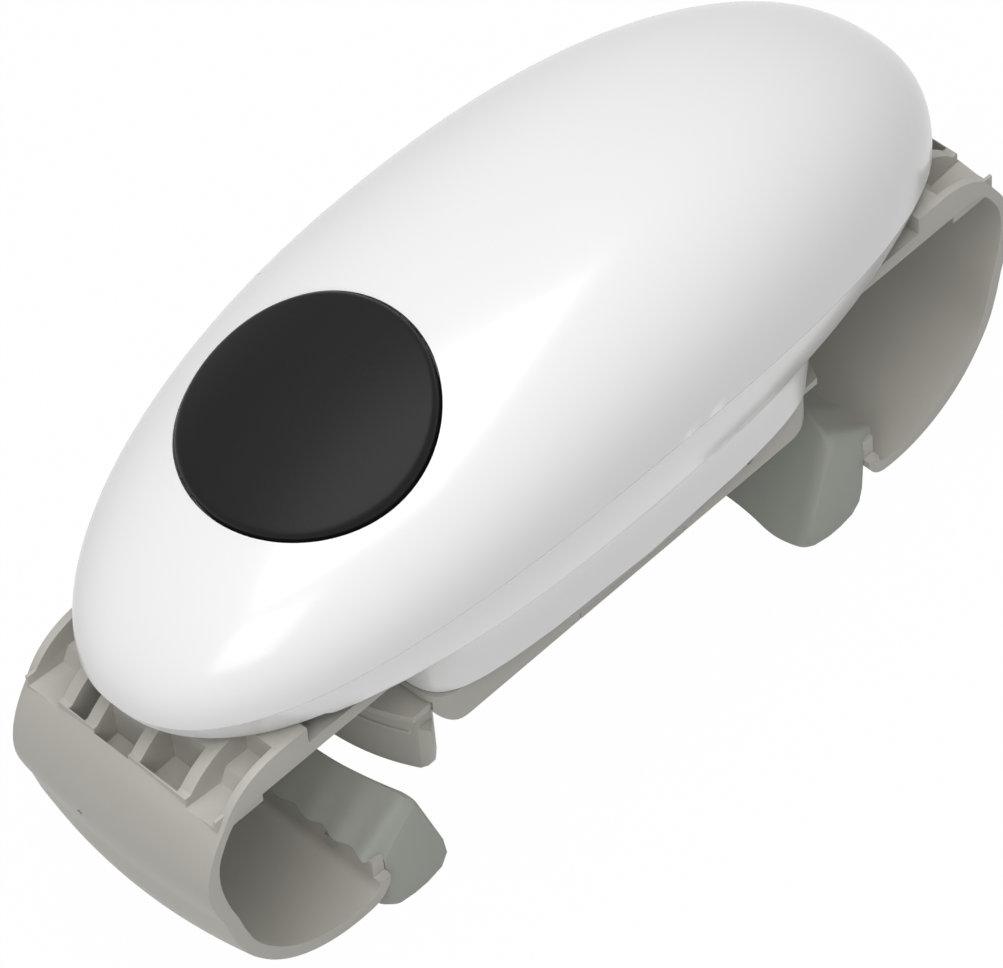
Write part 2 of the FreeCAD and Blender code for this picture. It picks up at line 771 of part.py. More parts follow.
def guide_shape():
    """Plate that closes the keel, with rails under the arms and under their racks."""
    inside = keel_prism(-float(dims.housing_wall) - 0.1, keel_low, channel_low)
    plate = keel_prism(-float(dims.housing_wall) - 0.1, keel_low, guide_high)
    additions = [rod(8.4, keel_low, rack_low - 1.2)]
    for side in (1, -1):
        for end in (1, -1):
            rail = block(14.5, 3.0, keel_low, channel_low, end * 27.0, side * 21.0)
            additions.append(rail.common(inside))
        additions.append(block(41.0, 3.2, keel_low, rack_low - 0.3, 0, side * 12.2))
    plate = fused([plate] + additions)
    plate = plate.cut(rod(6.0 + FIT, seam - 60, seam))
    for x in (GUIDE_POST[0], -GUIDE_POST[0]):
        for y in (GUIDE_POST[1], -GUIDE_POST[1]):
            plate = plate.cut(rod(SMALL_SCREW + 0.15, seam - 60, seam, x, y))
            plate = plate.cut(rod(SMALL_HEAD + 0.1, seam - 60, float(keel_low) + 1.2, x, y))
    return plate


shape_node("guide_plate", guide_shape())


def screw(length, radius, head_radius, head):
    """A screw standing on its head at z = 0."""
    shaft = rod(radius, 0, length)
    top = rod(head_radius, 0, head)
    slot = block(head_radius * 0.7, 0.25, -1, head * 0.5)
    cross = block(0.25, head_radius * 0.7, -1, head * 0.5)
    return shaft.fuse(top).cut(slot).cut(cross)


def copies(label, shape, places, upside_down=False):
    """One node out of equal pieces at several places."""
    result = []
    for x, y, z in places:
        piece = shape.copy()
        if upside_down:
            piece.rotate(ORIGIN, Vector(1, 0, 0), 180)
        piece.translate(Vector(x, y, float(z)))
        result.append(piece)
    return shape_node(label, Part.makeCompound(result))


small_screw = screw(8.0, SMALL_SCREW, SMALL_HEAD, 1.2)


def trimmed_screws():
    """Housing screws, each as long as its own post is deep."""
    result = []
    for x, y in POSTS:
        length = post_top(x) + POST_DEPTH - 0.5 - float(roof_low)
        piece = screw(length, float(dims.screw_radius), float(dims.screw_head_radius), POST_HEAD)
        piece.translate(Vector(x, y, float(roof_low)))
        result.append(piece)
    return Part.makeCompound(result)


shape_node("housing_screws", trimmed_screws())
GUIDE_PLACES = [(x, y, keel_low) for x in (GUIDE_POST[0], -GUIDE_POST[0]) for y in (GUIDE_POST[1], -GUIDE_POST[1])]
copies("guide_screws", small_screw, GUIDE_PLACES)
copies("gear_plate_screws", small_screw, [(x, y, gear_plate_high + 1.2) for x, y in PILLARS], True)

bush = new_body("spindle_bush")
bush_sketch = new_sketch(bush, "bush_outline", "XZ_Plane")
draw_rectangle(bush_sketch, dims.spindle_radius + dims.running_gap, keel_low, 6.0, rack_low - 1.2)
revolve(bush, bush_sketch)


# Jar arms. The right one is modelled; the left one is the same shape turned half a turn.

def arc_point(centre, radius, angle):
    """A point of a hook bend, its angle measured from +X towards the floor."""
    turn = math.radians(angle)
    return Vector(centre.x + radius * math.cos(turn), 0, centre.z - radius * math.sin(turn))


def arc_edge(centre, radius, start, end):
    """A hook bend between two angles."""
    middle = arc_point(centre, radius, (start + end) / 2)
    return Part.Arc(arc_point(centre, radius, start), middle, arc_point(centre, radius, end)).toShape()


def line_edge(start, end):
    """A straight edge."""
    return Part.LineSegment(start, end).toShape()


def at_xz(x, z):
    """A point of the XZ plane."""
    return Vector(float(x), 0, float(z))


HOOK_ANGLES = (-11.0, 17.0, 95.0, 180.0)
hook_radii = [float(dims.hook_upper_radius), float(dims.hook_lower_radius), float(dims.hook_lip_radius)]


def hook_centres():
    """Centres of the three bends of the hook."""
    spot = at_xz(dims.hook_start, below_seam(dims.ramp_foot_depth))
    centres = []
    for radius, start, end in zip(hook_radii, HOOK_ANGLES, HOOK_ANGLES[1:]):
        centre = spot - (arc_point(ORIGIN, radius, start) - ORIGIN)
        centres.append(centre)
        spot = arc_point(centre, radius, end)
    return centres, spot


centres, lip_spot = hook_centres()
lip_out = lip_spot.x
lip_top = lip_spot.z + float(dims.hook_lip_rise)


def arm_profile():
    """Side outline of the right arm: plate, ramp and hook."""
    wall = float(dims.hook_wall)
    reach = float(dims.arm_plate_reach)
    run = 96.0
    crest_end = run - float(dims.ramp_length) - 1.0
    crest_start = crest_end - float(dims.ramp_crest)
    ramp_top = below_seam(dims.ramp_top_depth)
    ramp_foot = below_seam(dims.ramp_foot_depth)
    outer = [at_xz(reach, plate_low), at_xz(reach, plate_high), at_xz(crest_start, plate_high),
             at_xz(crest_start, ramp_top), at_xz(crest_end, ramp_top), at_xz(run, ramp_foot),
             arc_point(centres[0], hook_radii[0], HOOK_ANGLES[0])]
    edges = [line_edge(start, end) for start, end in zip(outer, outer[1:])]
    for centre, radius, start, end in zip(centres, hook_radii, HOOK_ANGLES, HOOK_ANGLES[1:]):
        edges.append(arc_edge(centre, radius, start, end))
    lip_outer = at_xz(lip_out, lip_top)
    lip_inner = at_xz(lip_out + wall, lip_top)
    edges.append(line_edge(lip_spot, lip_outer))
    edges.append(line_edge(lip_outer, lip_inner))
    edges.append(line_edge(lip_inner, at_xz(lip_out + wall, lip_spot.z)))
    edges.append(arc_edge(centres[2], hook_radii[2] - wall, HOOK_ANGLES[3], HOOK_ANGLES[2]))
    edges.append(arc_edge(centres[1], hook_radii[1] - wall, HOOK_ANGLES[2], HOOK_ANGLES[1]))
    fillet = 7.0
    inner_radius = hook_radii[0] - wall
    drop = centres[0].z - (float(plate_low) - fillet)
    angle = math.degrees(math.asin(drop / inner_radius))
    edges.append(arc_edge(centres[0], inner_radius, HOOK_ANGLES[1], angle))
    meet = arc_point(centres[0], inner_radius, angle)
    turn = at_xz(meet.x - fillet, float(plate_low) - fillet)
    middle = arc_point(turn, fillet, -45)
    under = at_xz(turn.x, plate_low)
    edges.append(Part.Arc(meet, middle, under).toShape())
    edges.append(line_edge(under, outer[0]))
    return Part.Wire(edges)


RIB_STARTS = [7.5, 13.8, 24.4, 35.7]
POCKETS_WIDTH = 44.6
PEG_Y = 12.0
PEG_RADIUS = 1.5
RIB_FOOT_X = 81.5
RIB_END_X = 91.0
POCKET_END_X = 91.6
ARM_RACK_END = 44.2
JAW_RACK_END = 49.6


def arm_shape():
    """The right arm with its rack, ribbed ramp and peg holes."""
    face = Part.Face(arm_profile())
    arm = face.extrude(Vector(0, float(dims.arm_width), 0))
    arm.translate(Vector(0, -half_arm, 0))
    thick = float(dims.rib_thick)
    edge = POCKETS_WIDTH / 2
    starts = [0.0] + [start + thick for start in RIB_STARTS]
    ends = RIB_STARTS + [POCKETS_WIDTH]
    floor = float(plate_high) - 1.7
    for index, (start, end) in enumerate(zip(starts, ends)):
        low_y = -edge + start
        high_y = -edge + end
        if index in (0, 4):
            top = float(below_seam(dims.ramp_top_depth))
            corners = [(RIB_FOOT_X, top + 1), (RIB_FOOT_X, top - 3.0),
                       (RIB_END_X, top - 5.6), (RIB_END_X, top + 1)]
            points = [Vector(x, low_y, z) for x, z in corners]
            arm = arm.cut(pulled(points, high_y - low_y, Vector(0, 1, 0)))
        else:
            arm = arm.cut(box_between((RIB_FOOT_X, low_y, floor), (POCKET_END_X, high_y, seam)))
    rack_bar = rack(dims.gear_module, -5.0, ARM_RACK_END, dims.rack_back, rack_low, rack_top)
    rack_bar.translate(Vector(0, -8.0, 0))
    root = -8.0 - DEDENDUM * float(dims.gear_module)
    joint = box_between((float(dims.arm_plate_reach), root - float(dims.rack_back), float(rack_top) - 0.5),
                        (ARM_RACK_END, root, float(plate_low) + 0.5))
    arm = fused([arm, rack_bar, joint])
    for y in (PEG_Y, -PEG_Y):
        hole = Part.makeCylinder(PEG_RADIUS + FIT, 8, Vector(lip_out - 2, y, lip_top - 2.6), Vector(1, 0, 0))
        arm = arm.cut(hole)
    return arm


right_arm = arm_shape()
shape_node("right_arm", right_arm)
shape_node("left_arm", turned(right_arm))


def pad_shape():
    """The rubber jar pad on the right arm: a hollow gripping face, a sloping top and two pegs."""
    top = float(below_seam(dims.pad_top_depth))
    half = float(dims.pad_half)
    grip = float(dims.pad_grip_radius)
    face_slope = (float(dims.pad_top_out) - float(dims.pad_foot_out)) / top
    below_floor = -2.0
    count = 9
    sections = []
    for index in range(count):
        y = -half + 2 * half * index / (count - 1)
        hollow = grip - math.sqrt(grip * grip - y * y)
        upper = float(dims.pad_top_out) - hollow
        lower = upper - face_slope * (top - below_floor)
        corners = [Vector(upper, y, top), Vector(lip_out, y, lip_top),
                   Vector(lip_out, y, below_floor), Vector(lower, y, below_floor)]
        sections.append(Part.makePolygon(corners + [corners[0]]))
    pad_solid = Part.makeLoft(sections, True, False)
    rounding = block(40, half, 0.0, seam, lip_out - 40)
    corner_edges = [edge for edge in rounding.Edges
                    if abs(edge.BoundBox.ZLength) > 50 and edge.BoundBox.XMax > lip_out - 1]
    rounding = rounding.makeFillet(float(dims.pad_corner), corner_edges)
    pad_solid = pad_solid.common(rounding)
    pegs = []
    for y in (PEG_Y, -PEG_Y):
        length = float(dims.hook_wall) + 1.5
        pegs.append(Part.makeCylinder(PEG_RADIUS, length, Vector(lip_out - 1, y, lip_top - 2.6), Vector(1, 0, 0)))
    return fused([pad_solid] + pegs)


right_pad = pad_shape()
shape_node("right_arm_pad", right_pad)
shape_node("left_arm_pad", turned(right_pad))


# The turntable: carrier, cover, spindle and output gear.

CARRIER_SCREWS = [(x, y) for x in (9.0, -9.0) for y in (22.6, -22.6)]

def carrier_shape():
    """The gray bar: roof, side walls with lips, bent ends, open underneath."""
    bar = block(CARRIER_REACH, CARRIER_HALF, carrier_low, carrier_high)
    upright = [edge for edge in bar.Edges if edge.BoundBox.ZLength > 5]
    bar = bar.makeFillet(3.5, upright)
    low = float(carrier_low)
    nose = float(dims.carrier_nose)
    cutters = []
    for side in (1, -1):
        corner = block(nose, 40, low - 1, low + nose, side * CARRIER_REACH)
        round_bar = Part.makeCylinder(nose, 90, Vector(side * (CARRIER_REACH - nose), -45, low + nose), Vector(0, 1, 0))
        cutters.append(corner.cut(round_bar))
    for cutter in cutters:
        bar = bar.cut(cutter)
    side_y = CARRIER_HALF - float(dims.carrier_side)
    lip_y = side_y - float(dims.carrier_lip)
    lip_top_level = float(jaw_plate_low) - 0.3
    bar = bar.cut(block(60, side_y, lip_top_level, carrier_inner))
    bar = bar.cut(block(60, lip_y, low - 1, carrier_inner))
    bar = bar.cut(block(float(dims.cover_half) + 0.15, 30, low - 1, float(cover_high)))
    bar = bar.cut(rod(dims.spindle_radius + FIT, low, seam))
    for x, y in CARRIER_SCREWS:
        bar = bar.cut(rod(SMALL_SCREW + FIT, low, float(cover_high) + 4.2, x, y))
    return bar


shape_node("jaw_carrier", carrier_shape())

cover = new_body("carrier_cover")
cover_sketch = new_sketch(cover, "cover_outline", "XY_Plane", carrier_low)
draw_rectangle(cover_sketch, -dims.cover_half, -CARRIER_HALF, dims.cover_half, CARRIER_HALF)
pad(cover, cover_sketch, dims.cover_thick)
cover_holes = new_sketch(cover, "cover_holes", "XY_Plane", carrier_low)
for x, y in CARRIER_SCREWS:
    draw_circle(cover_holes, x, y, SMALL_SCREW + 0.15)
pocket(cover, cover_holes, dims.cover_thick, up=True)
cover_heads = new_sketch(cover, "cover_heads", "XY_Plane", carrier_low)
for x, y in CARRIER_SCREWS:
    draw_circle(cover_heads, x, y, 1.6)
pocket(cover, cover_heads, 0.7, up=True)
short_screw = screw(4.6, SMALL_SCREW, 1.5, 0.6)
copies("carrier_screws", short_screw, [(x, y, carrier_low) for x, y in CARRIER_SCREWS])

spindle = new_body("spindle")
spindle_sketch = new_sketch(spindle, "spindle_outline", "XZ_Plane")
flange_low = jaw_plate_low + 0.3
spindle_top = output_high + 1.2
SPINDLE_FLANGE = 9.5
PIN_RADIUS = 2.0
draw_outline(spindle_sketch, [
    (0, cover_high), (PIN_RADIUS, cover_high), (PIN_RADIUS, flange_low), (SPINDLE_FLANGE, flange_low),
    (SPINDLE_FLANGE, carrier_inner), (dims.spindle_radius, carrier_inner), (dims.spindle_radius, spindle_top),
    (0, spindle_top)])
revolve(spindle, spindle_sketch)


def bored(shape, radius, x=0.0, y=0.0):
    """A shape with an upright bore right through it."""
    return shape.cut(rod(radius, 0, seam + 60, x, y))


OUTPUT_PHASE = 0.0
output = gear(dims.gear_module, dims.output_teeth, OUTPUT_PHASE, output_low, output_high)
output = output.fuse(rod(7.0, float(deck_high) + 0.1, output_low))
shape_node("output_gear", bored(output, dims.spindle_radius + FIT))

# A tooth of this pinion points along +Y and -Y, into the gaps of both racks at x = 0.
arm_pinion = gear(dims.gear_module, dims.arm_pinion_teeth, 90.0, rack_low + 0.5, rack_top)
hub = rod(5.6, rack_low - 1.1, float(deck_low) - 0.1)
shape_node("arm_pinion", bored(arm_pinion.fuse(hub), dims.spindle_radius + dims.running_gap))

jaw_pinion = gear(dims.gear_module, dims.jaw_pinion_teeth, 90.0, jaw_rack_low, jaw_plate_low - 0.1)
jaw_hub = rod(3.2, float(cover_high) + 0.1, jaw_rack_low)
shape_node("jaw_pinion", bored(jaw_pinion.fuse(jaw_hub), PIN_RADIUS + float(dims.running_gap)))


# Lid jaws.

def jaw_shape():
    """The right lid jaw: slide plate, curved toothed blade and rack."""
    grip = float(dims.jaw_grip_radius)
    thick = float(dims.jaw_thick)
    centre_x = float(dims.jaw_out) - grip
    blade_low = below_seam(dims.jaw_blade_depth)
    half = 20.0
    reach = math.sqrt(grip * grip - half * half)
    near = Vector(centre_x + reach, -half, float(blade_low))
    far = Vector(centre_x + reach, half, float(blade_low))
    outer_edge = Part.Arc(near, Vector(centre_x + grip, 0, float(blade_low)), far).toShape()
    inner_edge = []
    serrations = 28
    for step in range(2 * serrations + 1):
        y = half - half * step / serrations
        depth = 0.9 if step % 2 else 0.0
        radius = grip - thick + depth
        inner_edge.append(Vector(centre_x + math.sqrt(radius * radius - y * y), y, float(blade_low)))
    inner = Part.makePolygon(inner_edge)
    sides = [line_edge(far, inner_edge[0]), line_edge(inner_edge[-1], near)]
    outline = Part.Wire([outer_edge, sides[0]] + inner.Edges + [sides[1]])
    blade = Part.Face(outline).extrude(Vector(0, 0, float(jaw_plate_low) - float(blade_low)))
    side_y = CARRIER_HALF - float(dims.carrier_side) - 0.3
    sheet_plate = box_between((40.0, -side_y, jaw_plate_low), (60.0, side_y, jaw_plate_high))
    trim = Part.makeCylinder(grip, 40, Vector(centre_x, 0, float(jaw_plate_low) - 1))
    sheet_plate = sheet_plate.common(trim)
    bar = rack(dims.gear_module, -5.0, JAW_RACK_END, dims.jaw_rack_back, jaw_rack_low, jaw_plate_low - 0.1)
    bar.translate(Vector(0, -6.0, 0))
    tall = box_between((42.0, -6.0 - DEDENDUM - float(dims.jaw_rack_back), float(jaw_plate_low) - 0.5),
                       (JAW_RACK_END, -6.0 - DEDENDUM, float(jaw_plate_low) + 0.3))
    window = box_between((30.0, 4.7, float(jaw_rack_low) - 0.3), (60.0, 12.0, jaw_plate_low))
    grip_bar = box_between((centre_x + 30, -16.5, float(blade_low) + 3.0), (60.0, -10.5, float(blade_low) + 6.0))
    raised = Part.makeCylinder(grip + 0.5, 40, Vector(centre_x, 0, float(blade_low)))
    grip_bar = grip_bar.common(raised)
    jaw = fused([blade.cut(window), sheet_plate, bar, tall, grip_bar.cut(
        Part.makeCylinder(grip - 1.5, 40, Vector(centre_x, 0, float(blade_low))))])
    return jaw


right_jaw = jaw_shape()
shape_node("right_lid_jaw", right_jaw)
shape_node("left_lid_jaw", turned(right_jaw))


# The reduction gears and the motor.

second_phase = meshing_phase(dims.output_teeth, OUTPUT_PHASE, float(dims.second_angle), dims.second_pinion_teeth)
first_phase = meshing_phase(dims.second_teeth, 0.0, float(dims.first_angle), dims.first_pinion_teeth)
motor_phase = meshing_phase(dims.first_teeth, 0.0, float(dims.motor_angle), dims.motor_teeth)
HUB = 2.6

second = fused([
    gear(dims.gear_module, dims.second_pinion_teeth, second_phase, output_low, fine_low, *second_at),
    gear(dims.fine_module, dims.second_teeth, 0.0, fine_low, fine_high, *second_at),
    rod(HUB, float(deck_high) + 0.1, output_low, *second_at),
    rod(HUB, fine_high, float(gear_plate_low) - 0.1, *second_at)])
shape_node("second_gear", bored(second, dims.axle_radius + dims.running_gap, *second_at))

first = fused([
    gear(dims.fine_module, dims.first_pinion_teeth, first_phase, fine_low, motor_low, *first_at),
    gear(dims.motor_module, dims.first_teeth, 0.0, motor_low, motor_high, *first_at),
    rod(HUB, float(deck_high) + 0.1, fine_low, *first_at),
    rod(HUB, motor_high, float(gear_plate_low) - 0.1, *first_at)])
shape_node("first_gear", bored(first, dims.axle_radius + dims.running_gap, *first_at))

shaft = rod(dims.motor_shaft_radius, motor_low, float(gear_plate_high) + 6.0, *motor_at)
small = gear(dims.motor_module, dims.motor_teeth, motor_phase, motor_low, motor_high, *motor_at)
shape_node("motor_pinion", small.fuse(shaft))


def axle(label, place):
    """A steel pin between the deck and the gear plate."""
    body = new_body(label)
    sketch = new_sketch(body, label + "_outline", "XY_Plane", deck_high - 1.0)
    draw_circle(sketch, place[0], place[1], dims.axle_radius)
    pad(body, sketch, gear_plate_low - deck_high + 2.4)
    return body


axle("second_axle", second_at)
axle("first_axle", first_at)

plate = new_body("gear_plate")
plate_sketch = new_sketch(plate, "gear_plate_outline", "XY_Plane", gear_plate_low)
draw_outline(plate_sketch, [(-23, -23.5), (56, -23.5), (62, -18), (62, 18), (56, 23.5), (-23, 23.5)])
pad(plate, plate_sketch, dims.gear_plate_thick)
plate_holes = new_sketch(plate, "gear_plate_holes", "XY_Plane", gear_plate_low)
for x, y in PILLARS:
    draw_circle(plate_holes, x, y, SMALL_SCREW + 0.15)
draw_circle(plate_holes, motor_at[0], motor_at[1], 2.5)
for spot in (second_at, first_at):
    draw_circle(plate_holes, spot[0], spot[1], dims.axle_radius + FIT)
pocket(plate, plate_holes, dims.gear_plate_thick, up=True)

motor = new_body("motor")
motor_sketch = new_sketch(motor, "motor_outline", "XY_Plane", gear_plate_high)
draw_circle(motor_sketch, motor_at[0], motor_at[1], dims.motor_radius)
pad(motor, motor_sketch, dims.motor_length)
motor_cap = new_sketch(motor, "motor_cap", "XY_Plane", gear_plate_high + dims.motor_length)
draw_circle(motor_cap, motor_at[0], motor_at[1], dims.motor_radius * 0.4)
pad(motor, motor_cap, 1.5)
motor_bore = new_sketch(motor, "motor_bore", "XY_Plane", gear_plate_high)
draw_circle(motor_bore, motor_at[0], motor_at[1], dims.motor_shaft_radius + dims.running_gap)
pocket(motor, motor_bore, 6.5, up=True)


# Batteries, tray, contacts.

cell_y = float(dims.cell_radius) + 0.5
tray_low = gear_plate_high
cell_level = float(tray_low) + float(dims.tray_wall) + 0.2 + float(dims.cell_radius)
half_cell = float(dims.cell_length) / 2
tray_half_x = half_cell + 3.4 + float(dims.tray_wall)
tray_half_y = 2 * float(dims.cell_radius) + 1.2 + float(dims.tray_wall)
tray = new_body("battery_tray")
tray_sketch = new_sketch(tray, "tray_outline", "XY_Plane", tray_low)
draw_rectangle(tray_sketch, -tray_half_x, -tray_half_y, tray_half_x, tray_half_y)
pad(tray, tray_sketch, dims.cell_radius + dims.tray_wall)
tray_room = new_sketch(tray, "tray_room", "XY_Plane", tray_low + dims.tray_wall)
wall_in = float(dims.tray_wall)
draw_rectangle(tray_room, -tray_half_x + wall_in, -tray_half_y + wall_in, tray_half_x - wall_in, tray_half_y - wall_in)
pocket(tray, tray_room, dims.cell_radius, up=True)


def cell(label, y, end):
    """An AA cell lying along X, its tip towards the given end."""
    can = Part.makeCylinder(float(dims.cell_radius), 2 * half_cell, Vector(-half_cell, y, cell_level), Vector(1, 0, 0))
    tip_start = Vector(end * half_cell, y, cell_level)
    tip = Part.makeCylinder(2.6, 1.2, tip_start, Vector(end, 0, 0))
    return shape_node(label, can.fuse(tip))


cell("battery_one", cell_y, 1)
cell("battery_two", -cell_y, -1)


def contact(label, side):
    """A bent strip that touches both cells at one end."""
    inner = tray_half_x - wall_in
    low = float(tray_low) + wall_in
    strip = box_between((inner - 0.5, -12.0, low), (inner, 12.0, low + 9.0))
    parts = [strip]
    for y in (cell_y, -cell_y):
        tipped = (y > 0) == (side > 0)
        reach = half_cell + (1.2 if tipped else 0.0)
        button = Part.makeCylinder(2.2, inner - 0.3 - reach, Vector(reach, y, cell_level), Vector(1, 0, 0))
        parts.append(button.cut(Part.makeCylinder(1.4, 9, Vector(reach - 1, y, cell_level), Vector(1, 0, 0))))
        parts.append(box_between((inner - 0.5, y - 2.5, low + 6), (inner, y + 2.5, low + 11)))
    shape = fused(parts)
    if side < 0:
        shape = shape.mirror(ORIGIN, Vector(1, 0, 0))
    return shape_node(label, shape)


contact("contact_right", 1)
contact("contact_left", -1)


# Button, switch, spring and board, all along the button's tilted axis.

well_floor = -float(dims.well_depth)
board_high = well_floor + float(dims.board_thick)
board = rod(19.0, well_floor, board_high)
shape_node("circuit_board", board, dome_frame())
switch_box = block(3.0, 3.0, board_high, board_high + 1.8)
plunger = rod(1.7, board_high + 1.8, board_high + 3.1)
shape_node("switch", switch_box.fuse(plunger), dome_frame())


def button_shape():
    """The black cap that follows the dome, with a stem underneath."""
    cap = dome_solid(-float(dims.button_proud)).cut(dome_solid(float(dims.button_thick) - float(dims.button_proud)))
    cap = cap.common(button_hole(0.0, -12, 10))
    cap = biggest(cap)
    stem = on_button_axis(rod(dims.stem_radius, -3.0, 3.0)).common(dome_solid(0.0))
    return cap.fuse(stem)


shape_node("button", button_shape())


def spring_node():
    """A coil spring round the stem."""
    low = board_high + float(dims.spring_wire) / 2
    high = -2.75
    turns = 3.0
    helix = Part.makeHelix((high - low) / turns, high - low, float(dims.spring_radius))
    section = Part.makeCircle(float(dims.spring_wire) / 2, Vector(float(dims.spring_radius), 0, 0), Vector(0, 1, 0))
    coil = Part.Wire(helix).makePipeShell([Part.Wire(section)], True, False)
    seat = dome_frame().multiply(FreeCAD.Placement(Vector(0, 0, low), FreeCAD.Rotation()))
    return shape_node("button_spring", coil, seat)


spring_node()


# Checks and export.

NODES = [
    "upper_housing", "lower_housing", "guide_plate", "housing_screws", "guide_screws", "gear_plate",
    "gear_plate_screws", "spindle_bush", "motor", "first_axle", "second_axle", "battery_tray",
    "battery_one", "battery_two", "contact_right", "contact_left", "circuit_board", "switch",
    "button_spring", "button", "battery_door", "spindle", "output_gear", "jaw_carrier",
    "carrier_cover", "carrier_screws", "jaw_pinion", "right_lid_jaw", "left_lid_jaw", "arm_pinion",
    "right_arm", "right_arm_pad", "left_arm", "left_arm_pad", "motor_pinion", "first_gear",
    "second_gear",
]

doc.recompute()
for item in doc.Objects:
    if "Invalid" in item.State or "Error" in item.State:
        raise ValueError(f"{item.Label} did not work out: {item.State}")

os.makedirs("parts", exist_ok=True)
for name in NODES:
    found = doc.getObjectsByLabel(name)
    if len(found) != 1:
        raise ValueError(f"{len(found)} objects are called {name}")
    piece = found[0].Shape
    if piece.isNull() or not piece.isValid() or piece.Volume <= 0:
        raise ValueError(f"{name} has no sound shape")
    piece.exportStep(f"parts/{name}.step")
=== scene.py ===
"""Looks for an electric jar opener: an egg-shaped motor housing with a round button over hooked jar arms."""

import json
import math

import bmesh
import bpy
from bpy.props import FloatProperty, FloatVectorProperty, IntProperty, PointerProperty
from mathutils import Matrix, Vector


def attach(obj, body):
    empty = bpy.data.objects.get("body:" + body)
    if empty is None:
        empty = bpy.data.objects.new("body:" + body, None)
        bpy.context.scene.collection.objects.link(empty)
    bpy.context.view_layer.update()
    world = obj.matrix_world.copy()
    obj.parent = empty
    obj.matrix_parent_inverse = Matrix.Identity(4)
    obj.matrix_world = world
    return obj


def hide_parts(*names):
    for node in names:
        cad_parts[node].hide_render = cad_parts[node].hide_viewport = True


bl_info = {
    "name": "Jar Opener Dressing",
    "version": (1, 0, 0),
    "blender": (4, 5, 0),
    "location": "View3D > Sidebar > Jar Opener",
    "description": "Builds the smooth shells, soft pads, finishes and studio of an electric jar opener",
    "category": "Object",
}

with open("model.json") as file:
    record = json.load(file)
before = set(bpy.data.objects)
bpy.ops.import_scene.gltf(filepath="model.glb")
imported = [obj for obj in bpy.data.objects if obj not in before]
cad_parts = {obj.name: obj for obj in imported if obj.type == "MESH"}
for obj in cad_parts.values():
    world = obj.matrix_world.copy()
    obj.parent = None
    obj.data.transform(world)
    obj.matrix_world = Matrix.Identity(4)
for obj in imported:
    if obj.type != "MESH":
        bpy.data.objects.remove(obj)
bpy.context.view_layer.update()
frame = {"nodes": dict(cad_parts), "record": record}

MM = 0.001
MERGE = 0.0005 * MM
UP = Vector((0, 0, 1))
PLAN_POWER = 2.25
DOME_POWER = 2.38
DISH_POWER = 0.77
PRESSURE = math.radians(20)
HALF_TURN = Matrix.Rotation(math.pi, 4, "Z")
WHITE = (1, 1, 1, 1)


def length(default, text):
    """A length property in metres."""
    return FloatProperty(name=text, description=text, default=default * MM, unit="LENGTH", precision=5)


def share(default, text):
    """A plain number property."""
    return FloatProperty(name=text, description=text, default=default, precision=3)


def angle(default, text):
    """An angle property."""
    return FloatProperty(name=text, description=text, default=math.radians(default), unit="ROTATION")


def colour(default, text):
    """A colour property."""
    return FloatVectorProperty(name=text, description=text, default=default, subtype="COLOR", size=3)


class HousingSizes(bpy.types.PropertyGroup):
    """The egg-shaped housing."""

    body_length: length(190.0, "Length of the egg")
    body_width: length(74.0, "Width of the egg")
    dome_rise: length(31.4, "Dome above the seam")
    dome_skew: share(0.27, "Share by which the far end of the dome is taller")
    plan_skew: share(0.05, "Share by which the far end is narrower")
    seam_height: length(84.0, "Seam above the floor")
    seam_fall: length(12.0, "Drop of the seam towards both ends")
    seam_tilt: length(2.3, "Further drop of the seam at the far end")
    seam_gap: length(0.1, "Gap along the seam")
    dish_depth: length(23.0, "Lower housing below the seam")
    dish_inset: length(7.0, "Slope of the lower housing's side")
    wall: length(2.4, "Wall of the housings")
    edge: length(0.35, "Rounding of the housing's edges")
    keel_depth: length(35.5, "Keel bottom below the seam")
    keel_length: length(94.0, "Length of the keel")
    keel_width: length(56.0, "Width of the keel at mid length")
    keel_end_width: length(49.6, "Width of the keel at its ends")
    keel_crease: length(10.0, "Height of the crease between keel and lower housing")
    keel_draft: angle(5.0, "Slope of the keel's sides")
    rings: IntProperty(name="Rings", description="Rings along the egg", default=96)


class ButtonSizes(bpy.types.PropertyGroup):
    """The round button and its well."""

    radius: length(22.4, "Radius of the button")
    place: length(-48.2, "Button centre along the housing")
    gap: length(0.5, "Gap round the button")
    proud: length(1.3, "Button above the dome")
    rim: length(1.1, "Rounding of the button's rim")
    thick: length(3.0, "Thickness of the button")
    well_depth: length(9.4, "Depth of the well")
    well_wall: length(1.8, "Wall of the well")


class ArmSizes(bpy.types.PropertyGroup):
    """The two hooked jar arms."""

    width: length(47.6, "Width of an arm")
    edge: length(0.7, "Rounding of the arm's edges")
    bulge: length(2.6, "Bulge of the hook at mid width")
    hook_raise: length(2.2, "Rise of the hook's lower half")
    wall: length(2.6, "Wall of the hook")
    plate_depth: length(21.8, "Underside of the plate below the seam")
    plate_thick: length(3.0, "Thickness of the plate")
    plate_reach: length(38.0, "Inner end of the plate")
    hook_start: length(97.0, "Outside of the hook at its top")
    upper_radius: length(70.0, "Bend of the hook's side")
    lower_radius: length(28.0, "Bend of the hook's bottom")
    lip_radius: length(5.0, "Bend into the lip")
    lip_rise: length(4.6, "Height of the lip")
    ramp_top: length(15.0, "Top of the ribbed ramp below the seam")
    ramp_foot: length(22.5, "Foot of the ribbed ramp below the seam")


class PadSizes(bpy.types.PropertyGroup):
    """The rubber pads that hold the jar."""

    half_width: length(22.5, "Half width of a pad")
    grip_radius: length(56.0, "Hollow of the gripping face")
    top_depth: length(56.0, "Upper edge below the seam")
    top_out: length(57.0, "Upper edge from the middle")
    foot_out: length(47.6, "Foot of the face from the middle")
    corner: length(3.4, "Rounding of the pad's ends")
    wave: length(0.45, "Height of the waves along the border")
    waves: share(6.5, "Waves along the border")


